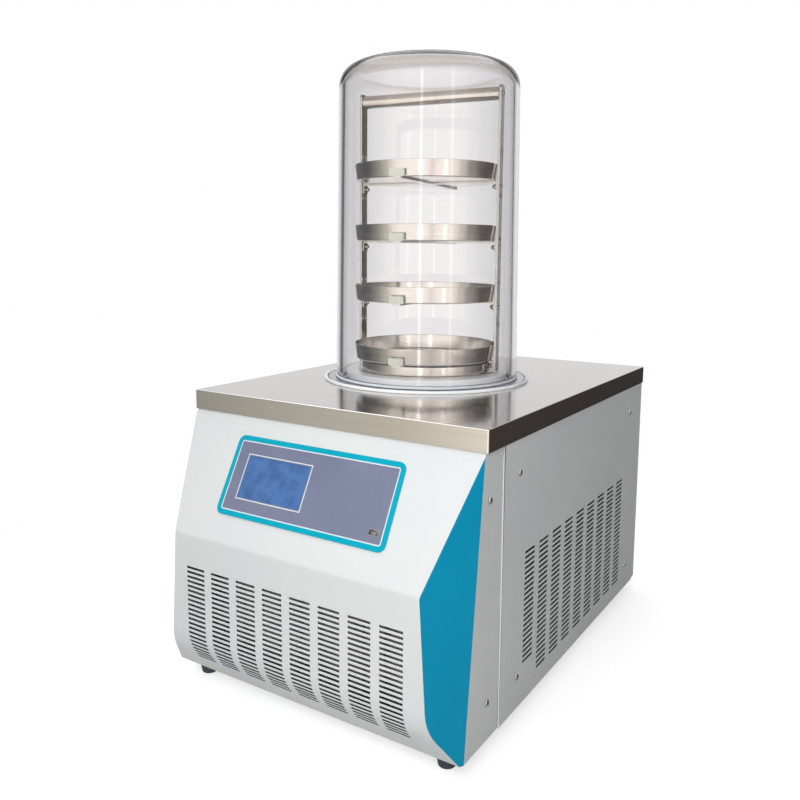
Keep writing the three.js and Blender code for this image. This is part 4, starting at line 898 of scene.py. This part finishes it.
# Rack fixings: a domed nut inside each upright and a round head outside, under
# each tray, and one screw into each end of the handle.
head_small = screw_head("rack_screw", 3.1 * MM, 1.3 * MM)
nut_outline = [(3.6 * MM, 0), (3.6 * MM, 2.6 * MM), (2.9 * MM, 3.1 * MM)]
nut_outline += arc(0, 3.1 * MM, 2.9 * MM, 0, 90, 6)[1:]
nut = turned("rack_nut", nut_outline + [(0, 0), nut_outline[0]], (0, 0, 0), steps=18, crease=50)
inside, outside, under_tray = tube_half - 2 * MM, rack_half + bar_half, 7.5 * MM
for side, word in sides:
    for level in levels:
        spot_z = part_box("tray_%d" % level)[0][2] - under_tray
        fixing = placed(nut, "nut_%s_%d" % (word, level),
                        rack_frame @ facing((-side, 0, 0), (side * inside, 0, spot_z)))
        stand_for(fixing, plated, "polished_steel", "dryer")
        fixing = placed(head_small, "rack_screw_%s_%d" % (word, level),
                        rack_frame @ facing((side, 0, 0), (side * outside, 0, spot_z)))
        stand_for(fixing, plated, "polished_steel", "dryer")
    fixing = placed(head_small, "handle_screw_" + word,
                    rack_frame @ facing((side, 0, 0), (side * outside, 0, centre.z)))
    stand_for(fixing, plated, "polished_steel", "dryer")
bpy.data.objects.remove(nut)
bpy.data.objects.remove(head_small)

# Trays: four shallow round pans, drawn from the same thin stainless sheet, with
# a rounded rim and a small radius at the base.
for level in levels:
    name = "tray_%d" % level
    axis, outer, bottom, top = ring_sizes(name)
    base, wall, bend = outer - 2 * MM, 1.2 * MM, 2.5 * MM
    outline = [(0, bottom)] + arc(base - bend, bottom + bend, bend, -90, -5, 4)
    outline += arc(outer - wall / 2, top - wall / 2, wall / 2, 0, 180, 6)
    outline += arc(base - bend, bottom + bend, bend - wall, -5, -90, 3) + [(0, bottom + wall)]
    pan = turned(name + "_pan", outline, axis, steps=144)
    stand_for(pan, drawn_steel, "brushed_steel", "dryer", name)

# Tray clips: small moulded blocks pushed over the front tongues, which stop the
# trays sliding off. Cream plastic with rounded corners.
cream = finish("cream_plastic", linear(222, 224, 210), 0, 0.45)
vary(cream, 40, linear(215, 217, 202), linear(228, 230, 217))
roughen(cream, 200, 0.38, 0.52)
for level in levels:
    clip = copy_of("tray_clip_%d" % level, "tray_clip_%d_moulding" % level)
    round_edges(clip, 0.5 * MM)
    stand_for(clip, cream, "pale_plastic", "dryer", "tray_clip_%d" % level)

# Refrigeration: a black enamelled compressor, an aluminium finned condenser with
# its fan and cowl behind the grille, and bare copper lines between them.
enamel = finish("black_enamel", linear(30, 31, 34), 0, 0.35)
vary(enamel, 25, linear(26, 27, 30), linear(38, 39, 43))
grain(enamel, 500, 0.00006)
dress(enamel, "compressor", "fan_motor")
fins = brushed("fin_sheet", linear(176, 180, 184), 0.4, 0.5, (90, 1, 1))
dress(fins, "condenser", "fan_rotor")
dress(zinc, "fan_shroud", "fan_bracket")
copper = finish("copper_pipe", linear(190, 122, 82), 1, 0.35)
vary(copper, 30, linear(164, 98, 64), linear(204, 138, 96))
roughen(copper, 70, 0.28, 0.45)
dress(copper, "discharge_pipe", "suction_pipe", "drain_pipe")

# Display board and USB port: a green board behind the control film, and on it a
# port with a folded steel shell.
board = finish("circuit_board", linear(30, 102, 66), 0, 0.45)
vary(board, 220, linear(22, 84, 54), linear(42, 122, 80))
dress(board, "display_board")
port_steel = brushed("port_steel", linear(196, 196, 194), 0.2, 0.3, (1, 80, 1))
port = copy_of("usb_port", "port_shell")
round_edges(port, 0.2 * MM, angle=50)
stand_for(port, port_steel, "brushed_steel", "dryer", "usb_port")

# Vacuum port: a turned stainless spigot through the back panel, with a collar
# against the sheet and a conical clamping flange at its end.
low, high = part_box("vacuum_port")
centre = middle("vacuum_port")
start, end, rim_radius = low[1], high[1], (high[0] - low[0]) / 2
bore, tube_radius, collar, edge = 12 * MM, 14 * MM, 18 * MM, 0.6 * MM
seat, collar_depth, lip, lip_depth = back_face + play, 4 * MM, 2 * MM, 1.2 * MM
outline = [(bore, start), (tube_radius, start), (tube_radius, seat), (collar, seat)]
outline += arc(collar - edge, seat + collar_depth - edge, edge, 0, 90, 3)
outline += [(tube_radius, seat + collar_depth), (tube_radius, end - 8 * MM),
            (rim_radius, end - 5 * MM)]
outline += arc(rim_radius - edge, end - edge, edge, 0, 90, 3)
outline += [(bore + lip, end), (bore + lip, end - lip_depth), (bore, end - lip_depth),
            (bore, start)]
spigot = turned("vacuum_spigot", outline, (centre.x, 0, centre.z), axis="Y", steps=64)
stand_for(spigot, port_steel, "polished_steel", "dryer", "vacuum_port")

# Drain valve and lever: a small brass ball valve on the back, with a hose
# nozzle, and a red lever on its spindle that turns a quarter of a circle.
brass = finish("brass_fitting", linear(188, 160, 92), 1, 0.3)
vary(brass, 50, linear(168, 140, 76), linear(202, 176, 108))
roughen(brass, 120, 0.22, 0.4)
valve = copy_of("drain_valve", "drain_valve_body")
round_edges(valve, 0.5 * MM, angle=50)
stand_for(valve, brass, "brass_fitting", "dryer", "drain_valve")
red = finish("red_plastic", linear(182, 48, 42), 0, 0.38)
vary(red, 60, linear(172, 42, 37), linear(192, 56, 50))
roughen(red, 160, 0.3, 0.46)
lever = copy_of("drain_lever", "drain_lever_grip")
round_edges(lever, 0.6 * MM, segments=3, angle=50)
stand_for(lever, red, "red_plastic", "drain_lever", "drain_lever")

# Power inlet and mains switch: black moulded fittings snapped into the back
# panel, with three flat pins inside the inlet and a red rocker in the switch.
black = finish("black_moulding", linear(34, 35, 38), 0, 0.48)
vary(black, 80, linear(29, 30, 33), linear(42, 43, 47))
grain(black, 900, 0.00004)
for name in ("power_inlet", "switch_housing"):
    fitting = copy_of(name, name + "_moulding")
    round_edges(fitting, 0.4 * MM)
    stand_for(fitting, black, "black_plastic", "dryer", name)
rocker = copy_of("switch_rocker", "rocker_cap")
round_edges(rocker, 0.5 * MM, segments=3, angle=50)
stand_for(rocker, red, "red_plastic", "switch_rocker", "switch_rocker")
